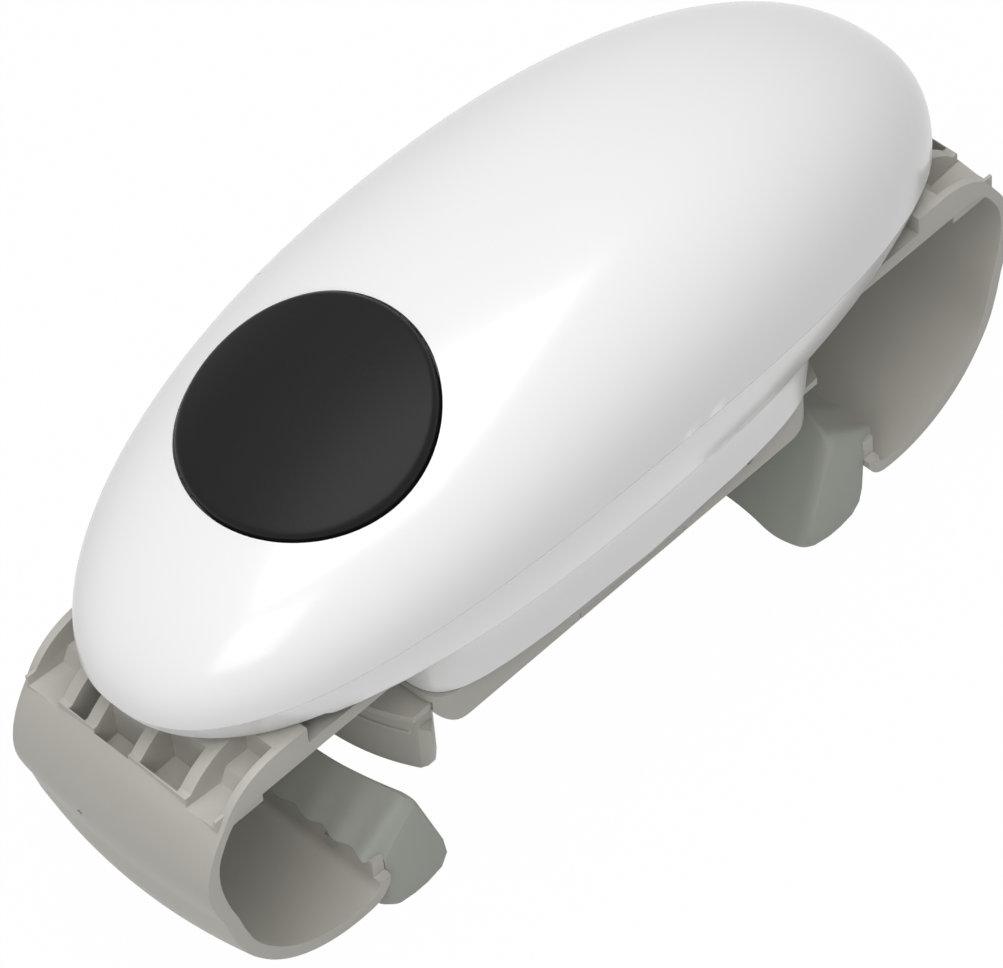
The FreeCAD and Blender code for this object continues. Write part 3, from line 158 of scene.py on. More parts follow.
class JawSizes(bpy.types.PropertyGroup):
    """The lid jaws and the bar that carries them."""

    grip_radius: length(42.0, "Curve of a jaw")
    reach: length(53.5, "Outside of a jaw from the middle")
    thick: length(5.0, "Thickness of a jaw")
    blade_depth: length(55.0, "Lower edge of a jaw below the seam")
    half_width: length(20.0, "Half width of a jaw")
    bar_half: length(47.0, "Half length of the carrier")
    bar_half_width: length(24.3, "Half width of the carrier")
    bar_height: length(8.0, "Height of the carrier")
    nose: length(7.0, "Bend at the carrier's ends")
    bar_corner: length(5.0, "Plan rounding of the carrier's corners")
    overhang: length(2.6, "Slide plate beyond the blade")


class Finishes(bpy.types.PropertyGroup):
    """Colours of the finishes."""

    white: colour((0.80, 0.80, 0.80), "White housing")
    gray: colour((0.44, 0.425, 0.385), "Gray arms and jaws")
    rubber: colour((0.37, 0.385, 0.345), "Pad rubber")
    black: colour((0.006, 0.006, 0.0062), "Button")
    natural: colour((0.72, 0.70, 0.62), "Inner plastic")
    steel: colour((0.56, 0.56, 0.57), "Steel")
    bronze: colour((0.55, 0.36, 0.18), "Bush")
    board: colour((0.03, 0.16, 0.07), "Circuit board")
    floor: colour((0.70, 0.70, 0.70), "Floor")


class StudioSettings(bpy.types.PropertyGroup):
    """Camera and lamps."""

    azimuth: angle(-41.75, "Direction the camera stands in")
    elevation: angle(49.46, "Height angle of the camera")
    roll: angle(-5.29, "Roll of the camera")
    distance: length(900.0, "Distance of the camera")
    shift_right: length(-2.69, "Aim to the right of the middle")
    shift_up: length(-24.90, "Aim above the middle")
    focal_share: share(5.3251, "Focal length over the frame's width")
    key_power: share(9.5, "Power of the large lamp overhead")
    side_power: share(2.6, "Power of the side lamp")
    world_level: share(0.24, "Light from all around")
    floor_glow: share(0.99, "How far the floor looks white")


class JarOpenerSettings(bpy.types.PropertyGroup):
    """All sizes and colours."""

    housing: PointerProperty(type=HousingSizes)
    button: PointerProperty(type=ButtonSizes)
    arm: PointerProperty(type=ArmSizes)
    pad: PointerProperty(type=PadSizes)
    jaw: PointerProperty(type=JawSizes)
    finish: PointerProperty(type=Finishes)
    studio: PointerProperty(type=StudioSettings)


def settings():
    """The scene's settings."""
    return bpy.context.scene.jar_opener


# The egg's shape.

def superellipse(part, power):
    """Height of a unit superellipse at a share of its half width."""
    return max(0.0, 1.0 - abs(part) ** power) ** (1.0 / power)


def signed_power(value, power):
    """A power that keeps the sign."""
    return math.copysign(abs(value) ** power, value)


def seam_level(x):
    """Height of the bowed seam."""
    sizes = settings().housing
    part = x / (sizes.body_length / 2)
    return sizes.seam_height - sizes.seam_fall * part * part - sizes.seam_tilt * part


def half_width_at(x, inset=0.0):
    """Half width of the egg at x."""
    sizes = settings().housing
    half = sizes.body_length / 2
    width = sizes.body_width / 2 * (1 - sizes.plan_skew * x / half) - inset
    return width * superellipse(x / (half - inset), PLAN_POWER)


def rise_at(x, inset=0.0):
    """Height of the dome above the seam at x."""
    sizes = settings().housing
    half = sizes.body_length / 2
    rise = sizes.dome_rise * (1 + sizes.dome_skew * x / half) - inset
    return rise * superellipse(x / (half - inset), DOME_POWER)


def depth_at(x, inset=0.0):
    """Depth of the lower housing below the seam at x."""
    sizes = settings().housing
    part = x / (sizes.body_length / 2 - inset)
    depth = sizes.dish_depth * max(0.0, 1 - part * part) ** DISH_POWER
    return max(0.35 * depth, depth - inset)


def dome_height(x, y, outset=0.0):
    """Height of the dome's surface over a point of the floor."""
    width = half_width_at(x, -outset)
    if abs(y) >= width:
        return seam_level(x)
    return seam_level(x) + rise_at(x, -outset) * superellipse(y / width, DOME_POWER)


def dish_section(x, part, inset=0.0):
    """Half width and depth of the lower housing's section, from the seam at 0 to the middle at 1."""
    sizes = settings().housing
    width = half_width_at(x, inset)
    depth = depth_at(x, inset)
    along = x / (sizes.body_length / 2 - inset)
    draw_in = sizes.dish_inset * math.sqrt(max(0.0, 1 - along * along))
    low = width - min(draw_in, 0.6 * width)
    side_end, corner_end = 0.5, 0.7
    bend = 0.82
    side_low = width + (low - width) * bend
    corner = Vector((low, depth))
    if part < side_end:
        step = part / side_end
        bulge = 0.06 * depth * step * (1 - step)
        return width + (side_low - width) * step + bulge, bend * depth * step
    finish = Vector((max(0.0, low - 0.3 * depth), depth))
    if part < corner_end:
        step = (part - side_end) / (corner_end - side_end)
        start = Vector((side_low, bend * depth))
        spot = start * (1 - step) ** 2 + corner * (2 * step * (1 - step)) + finish * step ** 2
        return spot.x, spot.y
    step = (part - corner_end) / (1 - corner_end)
    return finish.x * (1 - step), depth


def button_frame():
    """Place and tilt of the button on the dome."""
    x = settings().button.place
    step = 0.5 * MM
    slope = (dome_height(x + step, 0) - dome_height(x - step, 0)) / (2 * step)
    turn = Matrix.Rotation(-math.atan(slope), 4, "Y")
    return Matrix.Translation((x, 0, dome_height(x, 0))) @ turn


# Mesh helpers.

def mesh_object(name, bm):
    """A new object from a bmesh, with its doubles merged and its faces outwards."""
    bmesh.ops.remove_doubles(bm, verts=bm.verts, dist=MERGE)
    bmesh.ops.recalc_face_normals(bm, faces=bm.faces)
    mesh = bpy.data.meshes.new(name)
    bm.to_mesh(mesh)
    bm.free()
    piece = bpy.data.objects.new(name, mesh)
    bpy.context.scene.collection.objects.link(piece)
    return piece


def settle(piece):
    """Apply a piece's modifiers to its mesh."""
    bpy.context.view_layer.update()
    ready = piece.evaluated_get(bpy.context.evaluated_depsgraph_get())
    mesh = bpy.data.meshes.new_from_object(ready)
    piece.modifiers.clear()
    piece.data = mesh


def combine(piece, other, operation):
    """Carve, join or intersect a piece with another one, which is used up."""
    step = piece.modifiers.new("combine", "BOOLEAN")
    step.operation = operation
    step.object = other
    step.solver = "EXACT"
    settle(piece)
    bpy.data.objects.remove(other)


def carve(piece, other):
    """Take another piece out of a piece."""
    combine(piece, other, "DIFFERENCE")


def join(piece, other):
    """Join another piece to a piece."""
    combine(piece, other, "UNION")


def crop(piece, other):
    """Keep what of a piece lies inside another one."""
    combine(piece, other, "INTERSECT")


def close_up(piece):
    """Merge a piece's doubles and close what pinholes the carving left."""
    bm = bmesh.new()
    bm.from_mesh(piece.data)
    bmesh.ops.remove_doubles(bm, verts=bm.verts, dist=0.004 * MM)
    bmesh.ops.dissolve_degenerate(bm, edges=bm.edges, dist=0.002 * MM)
    bmesh.ops.holes_fill(bm, edges=[edge for edge in bm.edges if edge.is_boundary])
    bmesh.ops.recalc_face_normals(bm, faces=bm.faces)
    bm.to_mesh(piece.data)
    bm.free()


def block(low, high):
    """A box between two corners."""
    bm = bmesh.new()
    size = Vector(high) - Vector(low)
    middle = (Vector(high) + Vector(low)) / 2
    place = Matrix.Translation(middle) @ Matrix.Diagonal((*size, 1))
    bmesh.ops.create_cube(bm, size=1, matrix=place)
    return mesh_object("block", bm)


def round_bar(radius, low, high, place=None, segments=96):
    """A cylinder along Z between two heights, moved by a matrix."""
    bm = bmesh.new()
    middle = Matrix.Translation((0, 0, (low + high) / 2))
    matrix = middle if place is None else place @ middle
    bmesh.ops.create_cone(bm, cap_ends=True, segments=segments, radius1=radius, radius2=radius,
                          depth=high - low, matrix=matrix)
    return mesh_object("round_bar", bm)


def lying(spot, axis):
    """Place of a round bar that lies along X, turned about Y, or along Y, turned about X."""
    return Matrix.Translation(spot) @ Matrix.Rotation(math.pi / 2, 4, axis)


def next_ring(bm, edges):
    """Extrude a ring of edges: the new edges, and the new vertex over each old one."""
    made = bmesh.ops.extrude_edge_only(bm, edges=edges)["geom"]
    fresh = {item for item in made if isinstance(item, bmesh.types.BMVert)}
    ring = [item for item in made if isinstance(item, bmesh.types.BMEdge) and set(item.verts) <= fresh]
    over = {}
    for vert in fresh:
        before = next(edge.other_vert(vert) for edge in vert.link_edges if edge.other_vert(vert) not in fresh)
        over[before] = vert
    return ring, over


def prism(points, direction):
    """A closed prism from an outline and a vector."""
    bm = bmesh.new()
    face = bm.faces.new([bm.verts.new(point) for point in points])
    moved = bmesh.ops.extrude_face_region(bm, geom=[face])["geom"]
    bmesh.ops.translate(bm, verts=[v for v in moved if isinstance(v, bmesh.types.BMVert)], vec=direction)
    return mesh_object("prism", bm)


def soften(piece, width, segments=3, limit=32.0):
    """Round a piece's edges."""
    step = piece.modifiers.new("soft edges", "BEVEL")
    step.width = width
    step.segments = segments
    step.limit_method = "ANGLE"
    step.angle_limit = math.radians(limit)
    step.harden_normals = False
    step.miter_outer = "MITER_ARC"


def smooth(piece, limit=32.0):
    """Shade smooth, with sharp edges where the surface turns."""
    piece.data.shade_smooth()
    piece.data.set_sharp_from_angle(angle=math.radians(limit))


def fit_out(piece, name, body, slot, material, *nodes):
    """Name a finished piece, give it its finish and let it ride on its body."""
    piece.name = name
    piece.data.name = name
    piece.data.materials.clear()
    piece.data.materials.append(material)
    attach(piece, body)
    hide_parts(*nodes)


def turned_copy(piece):
    """A copy turned half a turn about the upright axis."""
    other = piece.copy()
    other.data = piece.data.copy()
    other.data.transform(HALF_TURN)
    bpy.context.scene.collection.objects.link(other)
    return other


def arc_points(centre, radius, start, end, step=3.0):
    """Points of an arc in the XZ plane; the angle runs from +X towards the floor."""
    count = max(2, round(abs(end - start) / step))
    points = []
    for index in range(count + 1):
        turn = math.radians(start + (end - start) * index / count)
        points.append(Vector((centre.x + radius * math.cos(turn), 0, centre.z - radius * math.sin(turn))))
    return points


# Finishes.

def feed(tree, node, inputs):
    """Set a node's inputs, each to a plain value or to the socket that feeds it."""
    for key, given in inputs.items():
        if isinstance(given, bpy.types.NodeSocket):
            tree.links.new(given, node.inputs[key])
        else:
            node.inputs[key].default_value = given
    return node


def add_node(tree, kind, inputs, operation=None):
    """A new shader node with its inputs set."""
    node = tree.nodes.new("ShaderNode" + kind)
    if operation:
        node.operation = operation
    return feed(tree, node, inputs)


def moulded_group():
    """Shader group for moulded surfaces: cloudy tone, uneven gloss and fine grain."""
    found = bpy.data.node_groups.get("moulded surface")
    if found:
        return found
    group = bpy.data.node_groups.new("moulded surface", "ShaderNodeTree")
    for name, kind, default in (("Colour", "Color", (0.8, 0.8, 0.8, 1)), ("Tone Change", "Float", 0.05),
                                ("Gloss", "Float", 0.4), ("Gloss Change", "Float", 0.05),
                                ("Grain Size", "Float", 1500.0), ("Grain Height", "Float", 0.1),
                                ("Ripple Height", "Float", 0.0)):
        socket = group.interface.new_socket(name=name, in_out="INPUT", socket_type="NodeSocket" + kind)
        socket.default_value = default
    for name, kind in (("Colour", "Color"), ("Roughness", "Float"), ("Normal", "Vector")):
        group.interface.new_socket(name=name, in_out="OUTPUT", socket_type="NodeSocket" + kind)
    given = group.nodes.new("NodeGroupInput").outputs
    place = add_node(group, "TexCoord", {}).outputs["Object"]
    cloud = add_node(group, "TexNoise", {"Vector": place, "Scale": 28.0, "Detail": 3.0})
    grain = add_node(group, "TexNoise", {"Vector": place, "Scale": given["Grain Size"], "Detail": 2.0})
    ripple = add_node(group, "TexNoise", {"Vector": place, "Scale": 70.0, "Detail": 1.0})
    centred = add_node(group, "Math", {0: cloud.outputs["Fac"], 1: 0.5}, "SUBTRACT").outputs[0]
    tone = add_node(group, "Math", {0: centred, 1: given["Tone Change"], 2: 1.0}, "MULTIPLY_ADD")
    tinted = add_node(group, "VectorMath", {0: given["Colour"], "Scale": tone.outputs[0]}, "SCALE")
    gloss = add_node(group, "Math", {0: centred, 1: given["Gloss Change"], 2: given["Gloss"]}, "MULTIPLY_ADD")
    waves = add_node(group, "Bump", {"Distance": 0.2 * MM, "Strength": given["Ripple Height"],
                                     "Height": ripple.outputs["Fac"]})
    bumps = add_node(group, "Bump", {"Distance": 0.1 * MM, "Strength": given["Grain Height"],
                                     "Height": grain.outputs["Fac"], "Normal": waves.outputs["Normal"]})
    feed(group, group.nodes.new("NodeGroupOutput"),
         {"Colour": tinted.outputs[0], "Roughness": gloss.outputs[0], "Normal": bumps.outputs["Normal"]})
    return group


def finish_material(name, tint, gloss, gloss_change, tone_change, grain_size, grain_height,
                    ripple=0.0, metallic=0.0, coat=0.0, specular=0.5):
    """A moulded or metal finish."""
    found = bpy.data.materials.get(name)
    if found:
        return found
    material = bpy.data.materials.new(name)
    material.use_nodes = True
    tree = material.node_tree
    surface = tree.nodes.new("ShaderNodeGroup")
    surface.node_tree = moulded_group()
    feed(tree, surface, {"Colour": (*tint, 1), "Tone Change": tone_change, "Gloss": gloss,
                         "Gloss Change": gloss_change, "Grain Size": grain_size,
                         "Grain Height": grain_height, "Ripple Height": ripple})
    feed(tree, tree.nodes["Principled BSDF"],
         {"Base Color": surface.outputs["Colour"], "Roughness": surface.outputs["Roughness"],
          "Normal": surface.outputs["Normal"], "Metallic": metallic, "Coat Weight": coat,
          "Coat Roughness": 0.08, "Specular IOR Level": specular})
    return material


def glossy_white():
    """White glossy housing plastic."""
    return finish_material("housing white", settings().finish.white, 0.22, 0.03, 0.02, 900.0, 0.02,
                           ripple=0.02, coat=0.15)


def moulded_gray():
    """Warm gray moulded plastic with a faint grain."""
    return finish_material("arm gray", settings().finish.gray, 0.48, 0.12, 0.09, 1400.0, 0.25, ripple=0.06)


def pad_rubber():
    """Soft pad rubber."""
    return finish_material("pad rubber", settings().finish.rubber, 0.62, 0.08, 0.07, 1800.0, 0.22,
                           specular=0.35)


def satin_black():
    """Fine satin black plastic of the button."""
    return finish_material("button black", settings().finish.black, 0.42, 0.05, 0.10, 2200.0, 0.22,
                           specular=0.16)


def natural_plastic():
    """Unpainted inner plastic."""
    return finish_material("inner plastic", settings().finish.natural, 0.42, 0.10, 0.06, 1200.0, 0.15)


def plain_steel():
    """Steel pins, screws, cans and springs."""
    return finish_material("steel", settings().finish.steel, 0.32, 0.15, 0.12, 1500.0, 0.10, metallic=1.0)


def bush_bronze():
    """Bronze of the spindle bush."""
    return finish_material("bronze", settings().finish.bronze, 0.38, 0.12, 0.15, 1500.0, 0.10, metallic=1.0)


def board_green():
    """Circuit board."""
    return finish_material("board", settings().finish.board, 0.45, 0.08, 0.12, 1000.0, 0.08)


# Housing.

def egg_solid(upper, inset, foot=0.0):
    """A closed half of the egg inside a wall, its flat side along the seam."""
    sizes = settings().housing
    bm = bmesh.new()
    turn = Matrix.Rotation(math.pi / 2, 4, "Y")
    bmesh.ops.create_uvsphere(bm, u_segments=128, v_segments=sizes.rings, radius=1.0, matrix=turn)
    everything = bm.verts[:] + bm.edges[:] + bm.faces[:]
    normal = UP if upper else -UP
    bmesh.ops.bisect_plane(bm, geom=everything, plane_co=(0, 0, 0), plane_no=normal, clear_inner=True)
    half = sizes.body_length / 2 - inset
    for vert in bm.verts:
        along = max(-1.0, min(1.0, vert.co.x))
        ring = math.hypot(vert.co.y, vert.co.z)
        x = half * along
        across = vert.co.y / ring if ring > 1e-6 else 0.0
        lift = abs(vert.co.z) / ring if ring > 1e-6 else 0.0
        if upper:
            y = half_width_at(x, inset) * signed_power(across, 2 / DOME_POWER)
            z = seam_level(x) - foot + (rise_at(x, inset) + foot) * abs(lift) ** (2 / DOME_POWER)
            if lift < 1e-5:
                z = seam_level(x) - foot
        else:
            part = math.asin(min(1.0, lift)) / (math.pi / 2)
            width, depth = dish_section(x, part, inset)
            y = math.copysign(width, across)
            if lift > 1 - 1e-6:
                y = 0.0
            z = seam_level(x) - sizes.seam_gap - depth
            if lift < 1e-5:
                z = seam_level(x) - sizes.seam_gap + foot
        vert.co = Vector((x, y, z))
    rim = [edge for edge in bm.edges if edge.is_boundary]
    bmesh.ops.holes_fill(bm, edges=rim)
    caps = [face for face in bm.faces if len(face.verts) > 4]
    bmesh.ops.triangulate(bm, faces=caps)
    return mesh_object("egg", bm)


def door_block(gap):
    """Place of the battery door."""
    sizes = settings().housing
    half, reach, sill, head = 29 * MM, 60 * MM, 2 * MM, 18 * MM
    low = Vector((-half - gap, 0, sizes.seam_height + sill - gap))
    high = Vector((half + gap, reach, sizes.seam_height + head + gap))
    return block(low, high)


def egg_shell(upper):
    """One half of the egg with its wall."""
    sizes = settings().housing
    shell = egg_solid(upper, 0.0)
    carve(shell, egg_solid(upper, sizes.wall, 0.6 * MM))
    return shell


class JAROPENER_OT_upper_housing(bpy.types.Operator):
    """Smooth white dome with the button well"""

    bl_idname = "jaropener.upper_housing"
    bl_label = "Upper housing"

    def execute(self, context):
        button = settings().button
        place = button_frame()
        shell = egg_shell(True)
        reach = button.radius + button.gap
        cup = round_bar(reach + button.well_wall, -button.well_depth - button.well_wall, 4 * MM, place, 128)
        crop(cup, egg_solid(True, 0.3 * MM))
        join(shell, cup)
        carve(shell, round_bar(reach, -button.well_depth, 12 * MM, place, 128))
        carve(shell, door_block(0.0))
        smooth(shell)
        soften(shell, settings().housing.edge, 2, 50.0)
        fit_out(shell, "dome_shell", "housing", "housing_white", glossy_white(), "upper_housing")
        return {"FINISHED"}


class JAROPENER_OT_battery_door(bpy.types.Operator):
    """Battery door in the dome's far side, with finger ribs"""

    bl_idname = "jaropener.battery_door"
    bl_label = "Battery door"

    def execute(self, context):
        door = egg_shell(True)
        crop(door, door_block(-0.3 * MM))
        smooth(door)
        soften(door, 0.25 * MM, 2, 50.0)
        settle(door)
        sizes = settings().housing
        for index in range(4):
            level = sizes.seam_height + 10 * MM + 1.8 * MM * (index - 1.5)
            y = half_width_at(0) * superellipse((level - seam_level(0)) / rise_at(0), DOME_POWER)
            join(door, round_bar(0.5 * MM, -9 * MM, 9 * MM, lying((0, y - 0.1 * MM, level), "Y"), 16))
        smooth(door)
        fit_out(door, "battery_door_panel", "battery_door", "housing_white", glossy_white(), "battery_door")
        return {"FINISHED"}


def keel_spot(turn):
    """A point of the keel's bottom outline in plan."""
    sizes = settings().housing
    far_reach = 2.2 * MM
    low_x, high_x = -sizes.keel_length / 2, sizes.keel_length / 2 + far_reach
    half, middle = (high_x - low_x) / 2, (high_x + low_x) / 2
    across, along = math.sin(turn), math.cos(turn)
    power = 9.0
    x = half * signed_power(along, 2 / power)
    bow = 1 - ((x + middle) / (sizes.keel_length / 2)) ** 2
    width = sizes.keel_end_width / 2 + (sizes.keel_width - sizes.keel_end_width) / 2 * bow
    return x + middle, width * signed_power(across, 2 / power)


def keel_ring():
    """The keel's wall, whose sides run up into the lower housing's sides at a soft crease."""
    sizes = settings().housing
    bottom = sizes.seam_height - sizes.keel_depth
    draft = math.tan(sizes.keel_draft)
    crease = sizes.keel_crease
    steps = ("inside", "foot", "side", "under", "crease", "over", "top", "inside top")
    bm = bmesh.new()
    bmesh.ops.create_circle(bm, segments=200, radius=1.0)
    angles = {vert: math.atan2(vert.co.y, vert.co.x) for vert in bm.verts}
    first = list(bm.edges)
    edges = first
    for number, step in enumerate(steps):
        if number:
            edges, over = next_ring(bm, edges)
            angles = {over[vert]: turn for vert, turn in angles.items()}
        for vert, turn in angles.items():
            x, y = keel_spot(turn)
            sideways = max(0.0, min(1.0, (abs(math.sin(turn)) - 0.5) / 0.3))
            level = seam_level(x) - sizes.seam_gap
            depth = depth_at(x)
            width, drop = dish_section(x, 0.42)
            ceiling = level - depth - bottom
            side_top = Vector((x, math.copysign(width - 0.9 * MM, y), level - drop - bottom))
            end_top = Vector((x + math.copysign(0.6 * MM, x), y, ceiling + 1.2 * MM))
            top = end_top.lerp(side_top, sideways)
            bend = Vector((x + draft * crease * (1 - sideways) * math.copysign(1, x),
                           y + draft * crease * math.copysign(1, y), min(crease, ceiling - 0.5 * MM)))
            foot = Vector((x, y, 0))
            spot = {"inside": foot, "foot": foot, "side": foot.lerp(bend, 0.05),
                    "under": foot.lerp(bend, 0.8), "crease": bend.lerp(foot.lerp(top, 0.62), 0.25),
                    "over": bend.lerp(top, 0.25), "top": top, "inside top": top}[step]
            if step.startswith("inside"):
                inward = Vector((-x, -y, 0)).normalized()
                spot = spot + inward * (sizes.wall * 1.4)
            vert.co = spot + Vector((0, 0, bottom))
    bmesh.ops.bridge_loops(bm, edges=first + edges)
    return mesh_object("keel", bm)


class JAROPENER_OT_lower_housing(bpy.types.Operator):
    """White lower housing: dish, keel, deck and arm recesses"""

    bl_idname = "jaropener.lower_housing"
    bl_label = "Lower housing"

    def execute(self, context):
        sizes, arm = settings().housing, settings().arm
        seam = sizes.seam_height
        shell = egg_shell(False)
        channel = arm.width / 2 + 0.4 * MM
        inner, outer = 44.6 * MM, 100 * MM
        deck_half, room_half, spindle_hole = 45.03 * MM, 44.9 * MM, 4.1 * MM
        deck_low, roof_low, channel_low = seam - 18.4 * MM, seam - 14.4 * MM, seam - 22.2 * MM
        deck_high, roof_high = seam - 16.8 * MM, seam - 12.4 * MM
        join(shell, block((-deck_half, -28 * MM, deck_low), (deck_half, 28 * MM, deck_high)))
        for side in (1, -1):
            low_x, high_x = sorted((side * inner, side * 93 * MM))
            rim = channel + 2.2 * MM
            roof = block((low_x, -rim, roof_low), (high_x, rim, roof_high))
            crop(roof, egg_solid(False, 1.0 * MM))
            join(shell, roof)
            low_x, high_x = sorted((side * inner, side * outer))
            carve(shell, block((low_x, -channel, channel_low), (high_x, channel, roof_low)))
        carve(shell, block((-room_half, -channel, channel_low), (room_half, channel, deck_low)))
        carve(shell, round_bar(spindle_hole, seam - 30 * MM, seam))
        keel = keel_ring()
        wide = channel + 0.05 * MM
        carve(keel, block((-outer, -wide, seam - 22.25 * MM), (outer, wide, seam - 10 * MM)))
        carve(keel, block((-43 * MM, -22 * MM, seam - 30 * MM), (43 * MM, 22 * MM, seam - 20 * MM)))
        join(shell, keel)
        close_up(shell)
        smooth(shell)
        soften(shell, sizes.edge, 2, 50.0)
        fit_out(shell, "dish_shell", "housing", "housing_white", glossy_white(), "lower_housing")
        return {"FINISHED"}


class JAROPENER_OT_button(bpy.types.Operator):
    """Black button that follows the dome"""

    bl_idname = "jaropener.button"
    bl_label = "Button"

    def execute(self, context):
        button = settings().button
        radius, rim, thick = button.radius, button.rim, button.thick
        profile = [(radius * step / 24, 0.0) for step in range(1, 24) if radius * step / 24 < radius - rim]
        for index in range(7):
            turn = math.pi / 2 * index / 6
            profile.append((radius - rim + rim * math.sin(turn), -rim + rim * math.cos(turn)))
        profile += [(radius, -thick), (radius - 1.6 * MM, -thick)]
        bm = bmesh.new()
        points = [bm.verts.new((0.0, 0.0, 0.0))]
        points += [bm.verts.new((radial, 0, level)) for radial, level in profile]
        points.append(bm.verts.new((0.0, 0.0, -thick)))
        edges = [bm.edges.new(pair) for pair in zip(points, points[1:])]
        bmesh.ops.spin(bm, geom=points + edges, cent=(0, 0, 0), axis=UP, angle=2 * math.pi, steps=128,
                       use_merge=True, use_duplicate=False)
        bmesh.ops.remove_doubles(bm, verts=bm.verts, dist=1e-6)
        place = button_frame()
        for vert in bm.verts:
            spot = place @ Vector((vert.co.x, vert.co.y, 0))
            climb = 0.0
            for _ in range(8):
                now = spot + (place.to_3x3() @ UP) * climb
                climb += dome_height(now.x, now.y, button.proud) - now.z
            vert.co = spot + (place.to_3x3() @ UP) * (climb + vert.co.z)
        cap = mesh_object("cap", bm)
        join(cap, round_bar(3 * MM, -3 * MM, 0.5 * MM, place, 48))
        smooth(cap)
        fit_out(cap, "button_cap", "button", "button_black", satin_black(), "button")
        return {"FINISHED"}


# Jar arms and pads.

HOOK_ANGLES = (-11.0, 17.0, 95.0, 180.0)
HOOK_JOIN = 10.0


def hook_bends():
    """Centres and radii of the three bends of the hook, and where the lip begins."""
    sizes = settings().arm
    seam = settings().housing.seam_height
    spot = Vector((sizes.hook_start, 0, seam - sizes.ramp_foot))
    bends = []
    for radius, start, end in zip((sizes.upper_radius, sizes.lower_radius, sizes.lip_radius),
                                  HOOK_ANGLES, HOOK_ANGLES[1:]):
        offset = Vector((radius * math.cos(math.radians(start)), 0, -radius * math.sin(math.radians(start))))
        centre = spot - offset
        bends.append((centre, radius, start, end))
        spot = arc_points(centre, radius, start, end)[-1]
    return bends, spot


def raised(z):
    """Height of a hook point after the small rise of its lower half."""
    part = max(0.0, min(1.0, (40 * MM - z) / (20 * MM)))
    return z + settings().arm.hook_raise * part


def curve_points(corners, count):
    """Points of a cubic bend between the first and the last of four corners."""
    points = []
    for index in range(count + 1):
        step = index / count
        spot = corners[0] * (1 - step) ** 3 + corners[1] * (3 * step * (1 - step) ** 2)
        points.append(spot + corners[2] * (3 * step * step * (1 - step)) + corners[3] * step ** 3)
    return points


def arm_outline():
    """Side outline of the right arm: each point with the way and the share of its bulge at mid width."""
    sizes = settings().arm
    seam = settings().housing.seam_height
    wall = sizes.wall
    low = seam - sizes.plate_depth
    high = low + sizes.plate_thick
    crest = seam - sizes.ramp_top
    bends, lip = hook_bends()
    out = Vector((1, 0, 0))
    outline = [(Vector(spot), out, 0.0) for spot in (
        (sizes.plate_reach, 0, low), (sizes.plate_reach, 0, high), (75 * MM, 0, high), (75 * MM, 0, crest))]
    start_x = sizes.hook_start

    def at(level, out_by, drop):
        """A point by its distance beyond the hook's start and below a level, in millimetres."""
        return Vector((start_x + out_by * MM, 0, level - drop * MM))

    ramp = curve_points((at(crest, -15, 0), at(crest, -8.5, 0.4), at(crest, -4.4, 3.5),
                         at(crest, -2.1, 8.0)), 14)
    outline += [(spot, out, 0.75 * (index / 14) ** 2) for index, spot in enumerate(ramp)]
    flare = curve_points((ramp[-1], at(crest, 0.6, 11.5), at(crest, 2.9, 16.0), at(crest, 3.0, 21.0)), 10)
    low_side = arc_points(*bends[0][:2], HOOK_JOIN, HOOK_JOIN + 2)[0]
    flare += curve_points((flare[-1], at(crest, 3.1, 25.5), low_side + Vector((0.7 * MM, 0, 4.0 * MM)),
                           low_side), 8)[1:]
    for index, spot in enumerate(flare[1:]):
        part = max(0.35, 0.75 - 0.08 * index) if index < 9 else 0.35 + 0.05 * (index - 8)
        outline.append((spot, out, part))
    for centre, radius, start, end in bends:
        start = max(start, HOOK_JOIN)
        for spot in arc_points(centre, radius, start, end)[1:]:
            way = (spot - centre).normalized()
            turn = math.degrees(math.atan2(-way.z, way.x)) % 360
            outline.append((spot, way, 1.0 if turn < 30 else max(0.0, 1 - (turn - 30) / 85)))
    top = lip.z + sizes.lip_rise
    outline += [(Vector((lip.x, 0, top)), out, 0.0), (Vector((lip.x + wall, 0, top)), out, 0.0)]
    for centre, radius, start, end in reversed(bends):
        first = start if radius < 60 * MM else HOOK_JOIN
        for spot in arc_points(centre, radius - wall, end, first):
            way = (spot - centre).normalized()
            turn = math.degrees(math.atan2(-way.z, way.x)) % 360
            turn = 0.0 if turn > 300 else turn
            outline.append((spot, way, 0.5 if turn < 30 else max(0.0, 0.5 - (turn - 30) / 150)))
    meet = outline[-1][0]
    inner = curve_points((meet, meet + Vector((1.9 * MM, 0, 6.5 * MM)), at(low, 2.0, 11),
                          at(low, -1.6, 5.5)), 10)
    inner += curve_points((inner[-1], at(low, -3.2, 2.6), at(low, -4.6, 0), at(low, -9.0, 0)), 6)[1:]
    outline += [(spot, out, 0.3) for spot in inner[1:]]
    return [(Vector((spot.x, 0, raised(spot.z))), way, share_of) for spot, way, share_of in outline]


def swept(rows, row_places):
    """A closed solid through equal outlines, one for each place along Y."""
    bm = bmesh.new()
    bmesh.ops.create_circle(bm, segments=len(row_places(rows[0])), radius=1.0)
    row = sorted(bm.verts, key=lambda vert: math.atan2(vert.co.y, vert.co.x))
    loop = list(bm.edges)
    first = loop
    for index, y in enumerate(rows):
        if index:
            loop, over = next_ring(bm, loop)
            row = [over[vert] for vert in row]
        for vert, spot in zip(row, row_places(y)):
            vert.co = Vector((spot.x, y, spot.z))
    for edges in (first, loop):
        bmesh.ops.holes_fill(bm, edges=edges)
    return mesh_object("swept", bm)


